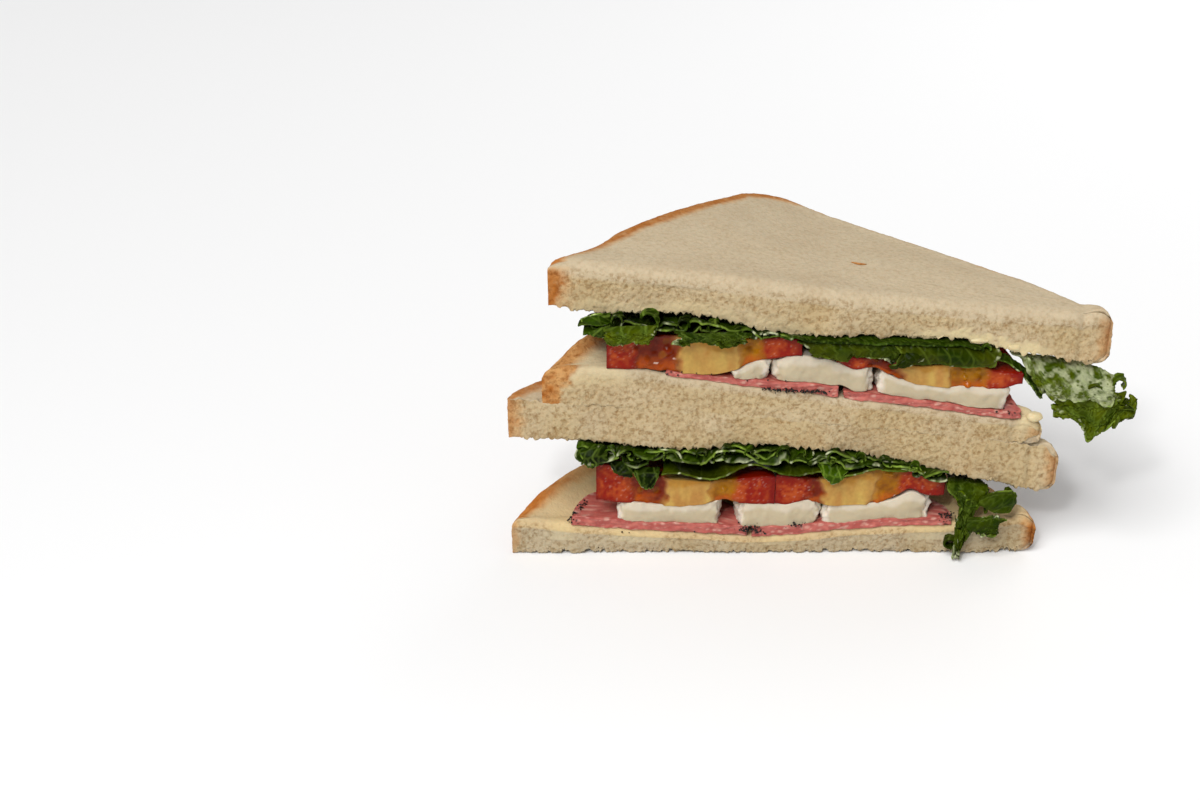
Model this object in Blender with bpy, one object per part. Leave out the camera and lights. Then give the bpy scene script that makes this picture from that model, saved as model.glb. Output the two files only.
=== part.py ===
"""Half of a double-stacked white-bread sandwich, cut on the diagonal.

Four triangular slices of bread hold two fillings. Each filling is, from below: peppered salami, slices of
soft white-rind cheese, tomato and curly lettuce. The cut face lies in the plane y = 0 and looks along -Y,
the crusts run back from it to a rounded corner, and the bottom slice rests on z = 0.
Lengths are in millimetres until a mesh is made.
"""

import math

import bpy
import numpy as np
from mathutils import Matrix

MM = 0.001

# Driving dimensions of a slice, read along its crusts from the left end of the cut.
CUT_ANGLE_LEFT = 50.0
CUT_ANGLE_RIGHT = 90.0 - CUT_ANGLE_LEFT
SLICE_CUT_LENGTH = 158.0
LOAF_CORNER_RADIUS = 13.0
TIP_RADIUS = 9.0
SHOULDER_FROM_TIP = 13.0
SHOULDER_DEPTH = 1.3
RIM_WIDTH = 13.0
GAP = 0.4
LEAF_THICKNESS = 0.7

# How high the hidden stacks behind the cut reach above the bread or salami under them.
SALAMI_BACK_TOP = 3.0
CHEESE_BACK_TOP = 5.6
TOMATO_BACK_TOP = 13.0

# Where each slice's cut starts and how long it is.
BREAD_1_LEFT = -78.5
BREAD_2_LEFT, BREAD_2_CUT = -78.5, 162.0
BREAD_3_LEFT, BREAD_3_CUT = -68.5, 146.0
BREAD_4_LEFT, BREAD_4_CUT = -66.5, 160.0

# Heights along the cut face, as (x, z) pairs, from the table upwards.
BREAD_1_TOP = [(-79, 12), (-60, 10), (-40, 8.3), (-20, 7.2), (-5, 6.2), (8, 6.9), (25, 8.8),
               (40, 9.8), (55, 10.3), (68, 12.5), (79, 13)]
SALAMI_LOW_TOP = [(-62, 13), (-50, 12.2), (-40, 11.2), (-20, 10.4), (-5, 9.6), (8, 10.2), (20, 10.8),
                  (32, 11.9), (45, 12.3), (55, 13)]
CHEESE_LOW_TOPS = [
    (-46.5, -15.5, [(-47, 17.6), (-40, 17), (-30, 16.2), (-22, 16.8), (-15, 18)]),
    (-10.5, 14.0, [(-11, 16.8), (-3, 17), (4, 17), (9, 18), (14, 17)]),
    (15.5, 47.0, [(15, 16.5), (25, 16.8), (33, 17.2), (37, 18.8), (40, 21), (44, 19.8), (47, 18.8)]),
]
TOMATO_LOW = [
    (-53.0, -0.5,
     [(-53, 19.5), (-48, 18.7), (-40, 17.8), (-30, 17.1), (-22, 17.7), (-15, 19), (-8, 18), (0, 17.9)],
     [(-53, 31), (-45, 29.5), (-38, 27), (-30, 25.5), (-15, 25.2), (-8, 26), (0, 26.5)]),
    (0.5, 50.0,
     [(0, 18), (4, 17.9), (9, 18.9), (14, 17.8), (25, 17.6), (33, 18.4), (37, 21), (40, 23.4),
      (44, 21.6), (50, 21)],
     [(0, 27), (10, 26), (20, 26), (27, 28.3), (35, 28.8), (43, 28.2), (50, 26)]),
]
TOMATO_LOW_CREST = [(-53, 31), (-45, 29.5), (-38, 27), (-30, 25.5), (-15, 25.2), (-8, 26), (0, 26.5),
                    (10, 26), (20, 26), (27, 28.3), (35, 28.8), (43, 28.2), (50, 26)]
BREAD_2_BOTTOM = [(-79, 40), (-60, 39.3), (-50, 38.4), (-40, 37.2), (-25, 36.4), (-10, 38), (0, 37.8),
                  (15, 36.2), (25, 34.8), (35, 32.6), (45, 30.4), (52, 28.6), (62, 26.2), (72, 23.4),
                  (84, 21.5)]
SEAM = [(-79, 53.2), (-68, 52), (-40, 49.3), (-10, 47.2), (20, 44), (50, 40.3), (76, 37.3), (84, 36)]
BREAD_3_TOP = [(-69, 62), (-60, 63), (-45, 62.5), (-30, 60), (-20, 58.7), (-10, 57.2), (0, 55.8),
               (10, 54.8), (20, 52.8), (30, 51.7), (40, 50.5), (50, 49), (60, 47.2), (70, 46.6), (78, 46.5)]
SALAMI_UP_TOPS = [
    (-33.0, 17.0, [(-33, 61.8), (-28, 61), (-20, 60.3), (-10, 59.3), (0, 58.4), (10, 58), (17, 57)]),
    (18.5, 70.5, [(18, 55.4), (30, 54), (40, 52.7), (50, 51.1), (60, 49.4), (70, 49)]),
]
CHEESE_UP = [
    (-14.0, -3.5, [(-14, 60.4), (-3, 59.2)], [(-14, 61.9), (-10, 63.5), (-6, 65), (-3, 65)]),
    (-2.5, 27.0, [(-3, 59.4), (8, 58.7), (14, 58.2), (18, 57.4), (21, 56.2), (27, 55.4)],
     [(-3, 64.8), (4, 66.8), (10, 66), (15, 64.6), (20, 62.4), (27, 62.6)]),
    (28.5, 66.0, [(28, 54.9), (35, 54), (45, 52.6), (55, 50.9), (62, 50), (66, 49.9)],
     [(28, 61.2), (35, 58.8), (42, 57.2), (50, 56.2), (58, 56.3), (66, 56.2)]),
]
TOMATO_UP = [
    (-50.0, 5.0,
     [(-50, 63.5), (-42, 63.1), (-36, 62.7), (-30, 62), (-20, 61.6), (-15, 62.6), (-10, 64.4),
      (-6, 65.8), (0, 67), (5, 67.6)],
     [(-50, 70.5), (-40, 72.5), (-30, 72.5), (-20, 71.5), (-10, 71.5), (0, 72.2), (5, 71.8)]),
    (16.0, 69.0,
     [(16, 65.2), (20, 63.3), (27, 63.3), (31, 61.6), (35, 59.8), (42, 58), (50, 56.9), (58, 56.9),
      (65, 57.1), (69, 58.4)],
     [(16, 66.8), (22, 66), (30, 65.2), (37, 63.6), (45, 63.6), (55, 63), (69, 60.8)]),
]
BREAD_4_BOTTOM = [(-67, 82.5), (-55, 80.7), (-40, 80.2), (-30, 80.2), (-20, 79), (-10, 76.4), (0, 74),
                  (10, 73.2), (25, 73), (40, 72.4), (52, 72.2), (60, 70), (70, 67.5), (80, 66), (94, 64)]
BREAD_4_TOP = [(-67, 96.5), (-50, 94.8), (-20, 91.5), (0, 88.8), (20, 86), (40, 84), (60, 82),
               (80, 80.5), (94, 80)]


def curve(pairs):
    """A smooth height along x through (x, z) pairs, level outside them."""
    xs, zs = np.array(pairs, float).T
    slopes = np.gradient(zs, xs)
    slopes[0] = slopes[-1] = 0.0

    def height(x, y=0.0):
        x = np.clip(x, xs[0], xs[-1])
        i = np.clip(np.searchsorted(xs, x, side="right") - 1, 0, len(xs) - 2)
        span = xs[i + 1] - xs[i]
        t = (x - xs[i]) / span
        near = (1 + 2 * t) * (1 - t) ** 2 * zs[i] + t * t * (3 - 2 * t) * zs[i + 1]
        turn = t * (1 - t) ** 2 * slopes[i] - t * t * (1 - t) * slopes[i + 1]
        return near + span * turn + 0.0 * y

    return height


def smooth(t):
    """0 below 0, 1 above 1, and an S-shaped step between."""
    t = np.clip(t, 0.0, 1.0)
    return t * t * (3 - 2 * t)


def sway(x, y, phase):
    """The slow waves that a filling and its bread share behind the cut."""
    return smooth(y / 20.0) * (0.7 * np.sin(x / 17.0 + phase) + 0.6 * np.cos(y / 14.0 + x / 31.0 + phase))


def walk(legs, step):
    """Points along a path of legs, each a length and a turn to the right in degrees, that starts along +Y."""
    points, heading, at = [(0.0, 0.0)], math.radians(90), np.zeros(2)
    for length, turn in legs:
        count = max(1, round(length / step)) if turn == 0 else max(3, round(length / step * 2))
        for _ in range(count):
            heading -= math.radians(turn) / count / 2
            at = at + length / count * np.array([math.cos(heading), math.sin(heading)])
            heading -= math.radians(turn) / count / 2
            points.append(tuple(at))
    return np.array(points)


def crust_path(cut_length, step, shoulder=SHOULDER_DEPTH):
    """The crust of a half slice from the left end of its cut to the right end, round the loaf's corner."""
    arc_left = math.radians(CUT_ANGLE_RIGHT) * TIP_RADIUS
    arc_right = math.radians(CUT_ANGLE_LEFT) * TIP_RADIUS
    corner = math.radians(90) * LOAF_CORNER_RADIUS
    left = SLICE_CUT_LENGTH * math.cos(math.radians(CUT_ANGLE_LEFT)) - LOAF_CORNER_RADIUS - 4.0
    legs = [(arc_left, CUT_ANGLE_RIGHT), (left, 0), (corner, 90), (1.0, 0), (arc_right, CUT_ANGLE_LEFT)]
    above_cut = walk(legs, step)[-1][1]
    legs[3] = (1.0 + above_cut / math.sin(math.radians(CUT_ANGLE_RIGHT)), 0)
    path = walk(legs, step)
    path *= cut_length / path[-1, 0]
    from_tip = np.hypot(*(path - path[-1]).T)
    notch = shoulder * np.exp(-(((from_tip - SHOULDER_FROM_TIP) / 3.5) ** 2))
    path[:, 1] -= notch
    path[-1, 1] = path[0, 1] = 0.0
    return path


def slice_outline(left, cut_length, step, cut_step):
    """A half slice in plan, anticlockwise from the left end of the cut: the cut, then the crust."""
    crust = crust_path(cut_length, step) + [left, 0.0]
    cut_x = np.linspace(left, left + cut_length, max(3, round(cut_length / cut_step)))[:-1]
    cut = np.column_stack([cut_x, np.zeros(len(cut_x))])
    return np.vstack([cut, crust[::-1][:-1]])


def half_disc(x0, x1, depth, step, centre_y=0.0):
    """A round slice cut by the plane y = centre_y, from x0 to x1 along the cut and depth mm deep."""
    count = max(5, round(math.pi * (x1 - x0) / 2 / step))
    angles = np.linspace(0, math.pi, count)
    middle, radius = (x0 + x1) / 2, (x1 - x0) / 2
    arc = np.column_stack([middle + radius * np.cos(angles), centre_y + depth * np.sin(angles)])
    across = np.linspace(x0, x1, max(3, round((x1 - x0) / step)))[1:-1]
    return np.vstack([np.column_stack([across, np.full(len(across), centre_y)]), arc])


def disc(middle, radii, step):
    """A whole round slice in plan."""
    count = max(10, round(2 * math.pi * max(radii) / step))
    angles = np.linspace(0, 2 * math.pi, count, endpoint=False)
    return np.column_stack([middle[0] + radii[0] * np.cos(angles), middle[1] + radii[1] * np.sin(angles)])


def block(x0, x1, y0, y1, step, power=5.0):
    """A slice of cheese in plan: a rectangle with soft corners."""
    middle = np.array([(x0 + x1) / 2, (y0 + y1) / 2])
    radii = np.array([(x1 - x0) / 2, (y1 - y0) / 2])
    count = max(12, round(2 * (radii.sum() * 2) / step))
    angles = np.linspace(0, 2 * math.pi, count, endpoint=False) + 0.05
    around = np.column_stack([np.cos(angles), np.sin(angles)])
    reach = (np.abs(around) ** power).sum(1) ** (-1 / power)
    return middle + around * reach[:, None] * radii


def slab(outline, low, high, edge, rings):
    """Vertices and faces of a closed solid over a convex outline, between two heights, with round rims."""
    count = len(outline)
    centre = outline.mean(0)
    ahead = np.roll(outline, -1, 0) - np.roll(outline, 1, 0)
    inward = np.column_stack([-ahead[:, 1], ahead[:, 0]]) / np.hypot(*ahead.T)[:, None]
    levels = [(s, edge, 0, 0.0) for s in rings]
    levels += [(1.0, edge, 0, 0.0), (1.0, 0.0, 0, edge), (1.0, 0.0, 1, -edge), (1.0, edge, 1, 0.0)]
    levels += [(s, edge, 1, 0.0) for s in reversed(rings)]
    verts = [[*centre, float(low(*centre))]]
    for scale, inset, side, lift in levels:
        plan = centre + (outline + inward * inset - centre) * scale
        z_low, z_high = low(*plan.T), high(*plan.T)
        limit = (z_high - z_low) * 0.4
        z = (z_high if side else z_low) + np.clip(lift, -limit, limit)
        verts += np.column_stack([plan, z]).tolist()
    verts.append([*centre, float(high(*centre))])
    faces = []
    for k in range(count):
        j = (k + 1) % count
        faces.append([0, 1 + j, 1 + k])
        for ring in range(len(levels) - 1):
            a, b = 1 + ring * count, 1 + (ring + 1) * count
            faces += [[a + k, a + j, b + j], [a + k, b + j, b + k]]
        last = 1 + (len(levels) - 1) * count
        faces.append([last + k, last + j, len(verts) - 1])
    return np.array(verts), faces


def leaf(surface, rows, cols, thickness):
    """Vertices and faces of a thin closed leaf over surface(u, v), with both faces split alike."""
    u, v = np.meshgrid(np.linspace(0, 1, cols), np.linspace(0, 1, rows))
    middle = np.stack(surface(u, v), -1)
    along = np.gradient(middle, axis=1)
    across = np.gradient(middle, axis=0)
    normal = np.cross(along, across)
    normal /= np.linalg.norm(normal, axis=2, keepdims=True)
    half = normal * thickness / 2
    verts = np.concatenate([(middle + half).reshape(-1, 3), (middle - half).reshape(-1, 3)])
    under = rows * cols
    faces = []
    for r in range(rows - 1):
        for c in range(cols - 1):
            a, b = r * cols + c, r * cols + c + 1
            d, e = a + cols, b + cols
            faces += [[a, b, e], [a, e, d]]
            faces += [[under + a, under + e, under + b], [under + a, under + d, under + e]]
    rim = [c for c in range(cols)]
    rim += [r * cols + cols - 1 for r in range(1, rows)]
    rim += [(rows - 1) * cols + c for c in range(cols - 2, -1, -1)]
    rim += [r * cols for r in range(rows - 2, 0, -1)]
    for a, b in zip(rim, rim[1:] + rim[:1]):
        faces += [[b, a, under + a], [b, under + a, under + b]]
    return verts, faces


class Bed:
    """The plan and the height changes that the pieces on one slice share."""

    def __init__(self, left, cut_length, lift, phase):
        self.crust = crust_path(cut_length, 4.0, shoulder=0.0) + [left, 0.0]
        self.lift = lift
        self.phase = phase

    def near_crust(self, x, y):
        """1 at the crust and beyond it, 0 from RIM_WIDTH inside it."""
        x, y = np.broadcast_arrays(np.asarray(x, float), np.asarray(y, float))
        a, b = self.crust[:-1], self.crust[1:]
        span = b - a
        normal = np.column_stack([span[:, 1], -span[:, 0]]) / np.hypot(*span.T)[:, None]
        point = np.stack([x, y], -1)[..., None, :]
        inside = ((point - a) * normal).sum(-1).min(-1)
        return 1.0 - smooth(inside / RIM_WIDTH)

    def change(self, x, y):
        full_rim = self.lift * smooth((y - 1.0) / 14.0) * self.near_crust(x, y)
        return sway(np.asarray(x, float), np.asarray(y, float), self.phase) + full_rim

    def over(self, profile, extra=0.0, behind=0.0):
        """The profile along the cut, carried back over this slice, and raised by behind at the back."""
        height = curve(profile)
        return lambda x, y: height(x) + extra + behind * smooth(y / 10.0) + self.change(x, y)


def make(name, solid, colour, roughness):
    """Adds a solid in millimetres to the scene as a named object with its own material."""
    verts, faces = solid
    mesh = bpy.data.meshes.new(name)
    mesh.from_pydata((verts * MM).tolist(), [], faces)
    mesh.update()
    mesh.shade_smooth()
    mesh.set_sharp_from_angle(angle=math.radians(45))
    material = bpy.data.materials.new(name)
    material.use_nodes = True
    shader = material.node_tree.nodes["Principled BSDF"]
    shader.inputs["Base Color"].default_value = (*colour, 1.0)
    shader.inputs["Roughness"].default_value = roughness
    shader.inputs["Metallic"].default_value = 0.0
    mesh.materials.append(material)
    obj = bpy.data.objects.new(name, mesh)
    bpy.context.scene.collection.objects.link(obj)
    return obj


CRUMB = (0.62, 0.50, 0.33)
SALAMI = (0.55, 0.17, 0.15)
CHEESE = (0.80, 0.71, 0.47)
TOMATO = (0.55, 0.09, 0.02)
LETTUCE = (0.05, 0.16, 0.02)
LETTUCE_PALE = (0.14, 0.28, 0.04)

LOW_BED = Bed(BREAD_1_LEFT, SLICE_CUT_LENGTH, 5.0, 0.4)
LOW_ROOF = Bed(BREAD_2_LEFT, BREAD_2_CUT, -3.0, 0.4)
MIDDLE = Bed(BREAD_2_LEFT, BREAD_2_CUT, 0.0, 1.9)
UP_BED = Bed(BREAD_3_LEFT, BREAD_3_CUT, 4.5, 2.6)
UP_ROOF = Bed(BREAD_4_LEFT, BREAD_4_CUT, -3.0, 2.6)
TOP = Bed(BREAD_4_LEFT, BREAD_4_CUT, -0.8, 4.0)

# The lowest that the main leaves reach along the cut.
LEAF_LOW_FLOOR = [(-58, 33.5), (-52, 32.6), (-45, 31.6), (-38, 31), (-30, 31.4), (-15, 32), (0, 32.4),
                  (10, 32), (20, 31.4), (27, 31), (35, 30.6), (43, 29.2), (50, 27.2)]
LEAF_UP_FLOOR = [(-57, 72.2), (-50, 72.2), (-40, 73.4), (-30, 73.4), (-20, 72.5), (-10, 72.6), (0, 72.9),
                 (10, 71.8), (25, 71.5), (40, 70.9), (52, 70.6), (60, 68.6), (68, 66.2)]


def add_breads():
    step, cut_step, rings = 9.0, 8.0, (0.32, 0.6, 0.82)
    slices = [
        ("bread_1_bottom", BREAD_1_LEFT, SLICE_CUT_LENGTH, lambda x, y: 0.0 * x,
         LOW_BED.over(BREAD_1_TOP), 1.6),
        ("bread_2", BREAD_2_LEFT, BREAD_2_CUT, LOW_ROOF.over(BREAD_2_BOTTOM),
         MIDDLE.over(SEAM, -GAP / 2), 1.6),
        ("bread_3", BREAD_3_LEFT, BREAD_3_CUT, MIDDLE.over(SEAM, GAP / 2),
         UP_BED.over(BREAD_3_TOP), 1.6),
        ("bread_4_top", BREAD_4_LEFT, BREAD_4_CUT, UP_ROOF.over(BREAD_4_BOTTOM),
         TOP.over(BREAD_4_TOP), 2.2),
    ]
    for name, left, cut_length, low, high, edge in slices:
        outline = slice_outline(left, cut_length, step, cut_step)
        make(name, slab(outline, low, high, edge, rings), CRUMB, 0.95)


def add_salami():
    low_top = LOW_BED.over(SALAMI_LOW_TOP)
    on_bread_1 = LOW_BED.over(BREAD_1_TOP, GAP, 2 * GAP)
    on_bread_3 = UP_BED.over(BREAD_3_TOP, GAP, 2 * GAP)
    pieces = [
        ("salami_low_left", half_disc(-60.5, -7.5, 22, 6), on_bread_1, low_top),
        ("salami_low_right", half_disc(-6, 54, 22, 6), on_bread_1, low_top),
        ("salami_low_back", disc((-6, 41), (24, 15), 8), on_bread_1, low_top),
        ("salami_up_back", disc((-2, 38), (22, 14), 8), on_bread_3,
         UP_BED.over(BREAD_3_TOP, SALAMI_BACK_TOP)),
    ]
    for side, (x0, x1, top) in zip(("left", "right"), SALAMI_UP_TOPS):
        pieces.append((f"salami_up_{side}", half_disc(x0, x1, 20, 6), on_bread_3, UP_BED.over(top)))
    for name, outline, low, high in pieces:
        make(name, slab(outline, low, high, 0.5, (0.5,)), SALAMI, 0.45)


def add_cheese():
    names = ("left", "middle", "right")
    depths = (20.0, 30.0, 17.0)
    for name, depth, (x0, x1, top) in zip(names, depths, CHEESE_LOW_TOPS):
        outline = block(x0, x1, 0.0, depth, 6.0)
        solid = slab(outline, LOW_BED.over(SALAMI_LOW_TOP, GAP), LOW_BED.over(top), 1.0, (0.55,))
        make(f"cheese_low_{name}", solid, CHEESE, 0.4)
    low, high = LOW_BED.over(SALAMI_LOW_TOP, 2 * GAP), LOW_BED.over(SALAMI_LOW_TOP, CHEESE_BACK_TOP)
    solid = slab(block(-25, 14, 32, 54, 9.0), low, high, 1.0, (0.55,))
    make("cheese_low_back", solid, CHEESE, 0.4)
    depths = (18.0, 30.0, 15.0)
    for name, depth, (x0, x1, bottom, top) in zip(names, depths, CHEESE_UP):
        outline = block(x0, x1, 0.0, depth, 6.0)
        solid = slab(outline, UP_BED.over(bottom), UP_BED.over(top), 1.0, (0.55,))
        make(f"cheese_up_{name}", solid, CHEESE, 0.4)
    low = UP_BED.over(BREAD_3_TOP, SALAMI_BACK_TOP + 2 * GAP)
    high = UP_BED.over(BREAD_3_TOP, SALAMI_BACK_TOP + CHEESE_BACK_TOP)
    solid = slab(block(-20, 16, 32, 50, 9.0), low, high, 1.0, (0.55,))
    make("cheese_up_back", solid, CHEESE, 0.4)


def add_tomato():
    for level, bed, slices in (("low", LOW_BED, TOMATO_LOW), ("up", UP_BED, TOMATO_UP)):
        for side, (x0, x1, bottom, top) in zip(("left", "right"), slices):
            outline = half_disc(x0, x1, 21, 5.5)
            low, high = bed.over(bottom, 0.0, 2 * GAP), bed.over(top, 0.0, -GAP)
            make(f"tomato_{level}_{side}", slab(outline, low, high, 0.8, (0.5,)), TOMATO, 0.2)
    low = LOW_BED.over(SALAMI_LOW_TOP, CHEESE_BACK_TOP + 2 * GAP)
    high = LOW_BED.over(SALAMI_LOW_TOP, TOMATO_BACK_TOP)
    solid = slab(disc((-6, 42), (22, 12), 8), low, high, 0.8, (0.5,))
    make("tomato_low_back", solid, TOMATO, 0.2)
    low = UP_BED.over(BREAD_3_TOP, SALAMI_BACK_TOP + CHEESE_BACK_TOP + 2 * GAP)
    high = UP_BED.over(BREAD_3_TOP, TOMATO_BACK_TOP)
    solid = slab(disc((1, 41.5), (18, 10), 8), low, high, 0.8, (0.5,))
    make("tomato_up_back", solid, TOMATO, 0.2)


def ruffled(low, high, left_edge, right_edge, y_front, y_back, phase):
    """A leaf that waves between two heights, over the plan between two side edges given along y."""
    left_x, right_x = curve(left_edge), curve(right_edge)

    def surface(u, v):
        y = y_front + (y_back - y_front) * v ** 1.2
        x = left_x(y) + (right_x(y) - left_x(y)) * u
        bottom, top = low(x, y), high(x, y)
        room = np.maximum((top - bottom) / 2 - 0.7, 0.0)
        short_wave = np.sin(x / 3.6 + 1.3 * np.sin(y / 6.0) + phase)
        long_wave = np.sin(x / 7.1 - y / 5.0 + 2 * phase)
        return x, y, (bottom + top) / 2 + room * (0.6 * short_wave + 0.4 * long_wave)

    return surface


def through(points, t):
    """Where a smooth path through a stack of points is at t, from 0 to 1."""
    points = np.asarray(points, float)
    slopes = np.gradient(points, axis=0)
    at = np.clip(t, 0.0, 1.0) * (len(points) - 1)
    i = np.minimum(at.astype(int), len(points) - 2)
    s = (at - i).reshape((-1,) + (1,) * (points.ndim - 1))
    near = (1 + 2 * s) * (1 - s) ** 2 * points[i] + s * s * (3 - 2 * s) * points[i + 1]
    return near + s * (1 - s) ** 2 * slopes[i] - s * s * (1 - s) * slopes[i + 1]


def draped(lines, ruffle, waves, phase):
    """A leaf through rows of points, from its hidden edge to its free edge, which is ruffled."""

    def surface(u, v):
        spots = through(through(lines, v[:, 0]).swapaxes(0, 1), u[0]).swapaxes(0, 1)
        normal = np.cross(np.gradient(spots, axis=1), np.gradient(spots, axis=0))
        normal /= np.linalg.norm(normal, axis=2, keepdims=True)
        push = ruffle * v ** 1.5 * np.sin(2 * np.pi * waves * u + phase + 1.2 * v)
        return tuple(np.moveaxis(spots + normal * push[..., None], -1, 0))

    return surface


def frill(start, end, inside_z, edge_z, outside_z, reach, waves, phase):
    """A leaf edge that hangs out over a crust, from start to end along it, in plan."""
    start, end = np.array(start, float), np.array(end, float)
    along = (end - start) / np.hypot(*(end - start))
    outward = np.array([-along[1], along[0]])
    lines = []
    for offset, z in ((-9.0, inside_z), (-1.0, edge_z), (reach, outside_z)):
        for_this = []
        for t in (0, 0.25, 0.5, 0.75, 1):
            spot = start + (end - start) * t + outward * offset * (0.4 + 2.4 * t * (1 - t))
            for_this.append((*spot, z))
        lines.append(for_this)
    return draped(lines, 1.6, waves, phase)


# Rows of points of the leaves that hang free, from the hidden row to the loose one.
LOW_STRIP = [
    [(-43, 1, 29.9), (-38, 0.6, 29.7), (-34, 1, 29.4)],
    [(-42, -1.6, 28.4), (-38, -2, 28), (-35, -1.8, 28)],
    [(-39.6, -2.4, 24.6), (-38, -2.6, 24.1), (-36.4, -2.4, 24.6)],
]
LOW_SPRIG = [
    [(52.5, 7, 24.2), (56, 7, 23.6), (62, 7, 22.4)],
    [(51.6, -1.4, 25), (56, -1.8, 24), (64, -1.2, 23)],
    [(54, -2.4, 17.5), (57.5, -2.8, 17.5), (62, -2.4, 17.5)],
    [(54.6, -2.6, 10), (56.8, -3.2, 10), (59.6, -2.8, 10.5)],
    [(54.2, -4.2, 1.2), (55, -4.4, 0.9), (56, -4.2, 1.4)],
]
LOW_SPRIG_ROUND = [
    [(60.8, -4, 22), (60.4, -4, 20.8), (60.6, -4, 19.6)],
    [(65, -3.6, 24.4), (65, -4.6, 20.5), (65.5, -4, 17.4)],
    [(69.4, -3, 23.6), (70, -4, 20.4), (69.6, -3.4, 17.6)],
    [(71.4, -2.6, 21.8), (71.8, -3, 20.4), (71.4, -2.8, 19)],
]
LOW_SPRIG_FLARE = [
    [(57.5, -4.4, 15.5), (57.4, -4.4, 13.5), (57.6, -4.4, 11.5)],
    [(63, -4.4, 15.8), (62.4, -5, 13), (62, -4.4, 9)],
    [(67, -4, 15.4), (66.4, -4.6, 11.5), (66.6, -4, 8.6)],
    [(69.4, -3.6, 15), (66.6, -4.2, 12), (69, -3.8, 7.6)],
]
UP_FLAP_LEFT = [
    [(-51, -4.4, 77.6), (-46, -4.8, 78.4), (-40, -4.8, 78.6), (-36, -4.4, 78.4)],
    [(-51, -5, 74.6), (-46, -5.4, 75), (-40, -5.4, 75.6), (-37, -5, 75.8)],
    [(-49.6, -4.4, 70.8), (-46, -4.6, 72.2), (-41, -4.6, 72.6), (-38, -4.4, 73.2)],
]
UP_FLAP_RIGHT = [
    [(-31, -4.4, 76.6), (-24, -4.8, 76.2), (-16, -4.8, 76.6), (-9, -4.2, 76)],
    [(-31.6, -4.8, 74.4), (-24, -5.2, 74.2), (-16, -5.2, 74.4), (-10, -4.6, 74)],
    [(-31.4, -4.2, 72.4), (-24, -4.4, 72.8), (-16, -4.4, 72.4), (-12, -4, 72.8)],
]
UP_INNER_LEFT = [
    [(9, 8, 70), (16, 8, 69.8), (24, 8, 69.6), (31, 8, 69.4)],
    [(9, 4, 69.4), (16, 4, 69.4), (24, 4, 69), (31, 4, 68.6)],
    [(8, 1.6, 67.8), (16, 1.6, 68), (24, 1.6, 67.4), (31, 1.6, 66.6)],
]
UP_INNER_RIGHT = [
    [(33, 8, 69.6), (42, 8, 69.2), (51, 8, 68.6), (59, 8, 67.2)],
    [(33, 4, 68.6), (42, 4, 68), (51, 4, 67.2), (59.4, 4, 66)],
    [(33, 0.8, 66), (42, 0.8, 65.2), (51, 0.8, 64.8), (60, 0.8, 63.8)],
]
UP_STEM = [
    [(61, 5, 66.9), (66, 4, 64.6), (72, 3, 60.4), (77, 2, 55.4)],
    [(61, 2, 65), (66, 1.4, 62.8), (71, 1, 58.6), (76, 0, 52.4)],
]
UP_TAIL = [
    [(66, 4, 66.4), (75, 4.6, 64.9), (84, 4.6, 63.6), (92, 2.4, 61.8), (97.6, 0, 60.6)],
    [(70, -0.6, 62.8), (76.6, -2.6, 59.4), (84, -3, 58.4), (92, -4, 57.4), (99.4, -3, 57.6)],
    [(74.6, -2, 56.2), (79.4, -4, 54.6), (86, -6, 54.2), (93, -6, 54.6), (99.4, -5, 55.8)],
]
UP_FRILL = [
    [(79.4, -2.6, 52.6), (85, -3.6, 52.4), (91, -4.4, 52.6), (97, -4.2, 53), (102.4, -3.4, 53.8)],
    [(80.6, -2.2, 50.6), (86.4, -3.4, 49.4), (91.4, -4.4, 47.6), (96.6, -4, 48.6), (102.8, -3.2, 51.6)],
    [(82, -1.6, 48.8), (87.4, -3, 46.6), (90.2, -3.8, 42.6), (95.6, -3.6, 45.4), (102, -2.8, 49.6)],
]


def add_main_leaves():
    surface = ruffled(LOW_ROOF.over(LEAF_LOW_FLOOR), LOW_ROOF.over(BREAD_2_BOTTOM, -2 * GAP),
                      [(-3, -58), (8, -57), (20, -55), (30, -44), (42, -30), (56, -18)],
                      [(-3, 50), (10, 52), (22, 46), (30, 36), (42, 24), (56, 6)], -3.0, 56.0, 0.7)
    make("lettuce_low_main", leaf(surface, 8, 27, LEAF_THICKNESS), LETTUCE, 0.35)
    floor = UP_ROOF.over(LEAF_UP_FLOOR, 0.0, 2 * GAP)
    ceiling = UP_ROOF.over(BREAD_4_BOTTOM, -3 * GAP, -3 * GAP)
    surface = ruffled(floor, ceiling,
                      [(-3, -57), (6, -55), (18, -48), (30, -34), (42, -22), (56, -12)],
                      [(-3, 57), (5, 49), (24, 43), (34, 35), (44, 26), (56, 11)], -3.0, 56.0, 2.1)
    make("lettuce_up_main", leaf(surface, 8, 27, LEAF_THICKNESS), LETTUCE, 0.35)
    surface = ruffled(LOW_BED.over(TOMATO_LOW_CREST, 0.5), LOW_ROOF.over(LEAF_LOW_FLOOR, -GAP),
                      [(-2, -33), (20, -33)], [(-2, 44), (20, 42)], -2.0, 20.0, 4.0)
    make("lettuce_low_fold", leaf(surface, 5, 22, LEAF_THICKNESS), LETTUCE_PALE, 0.35)


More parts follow.
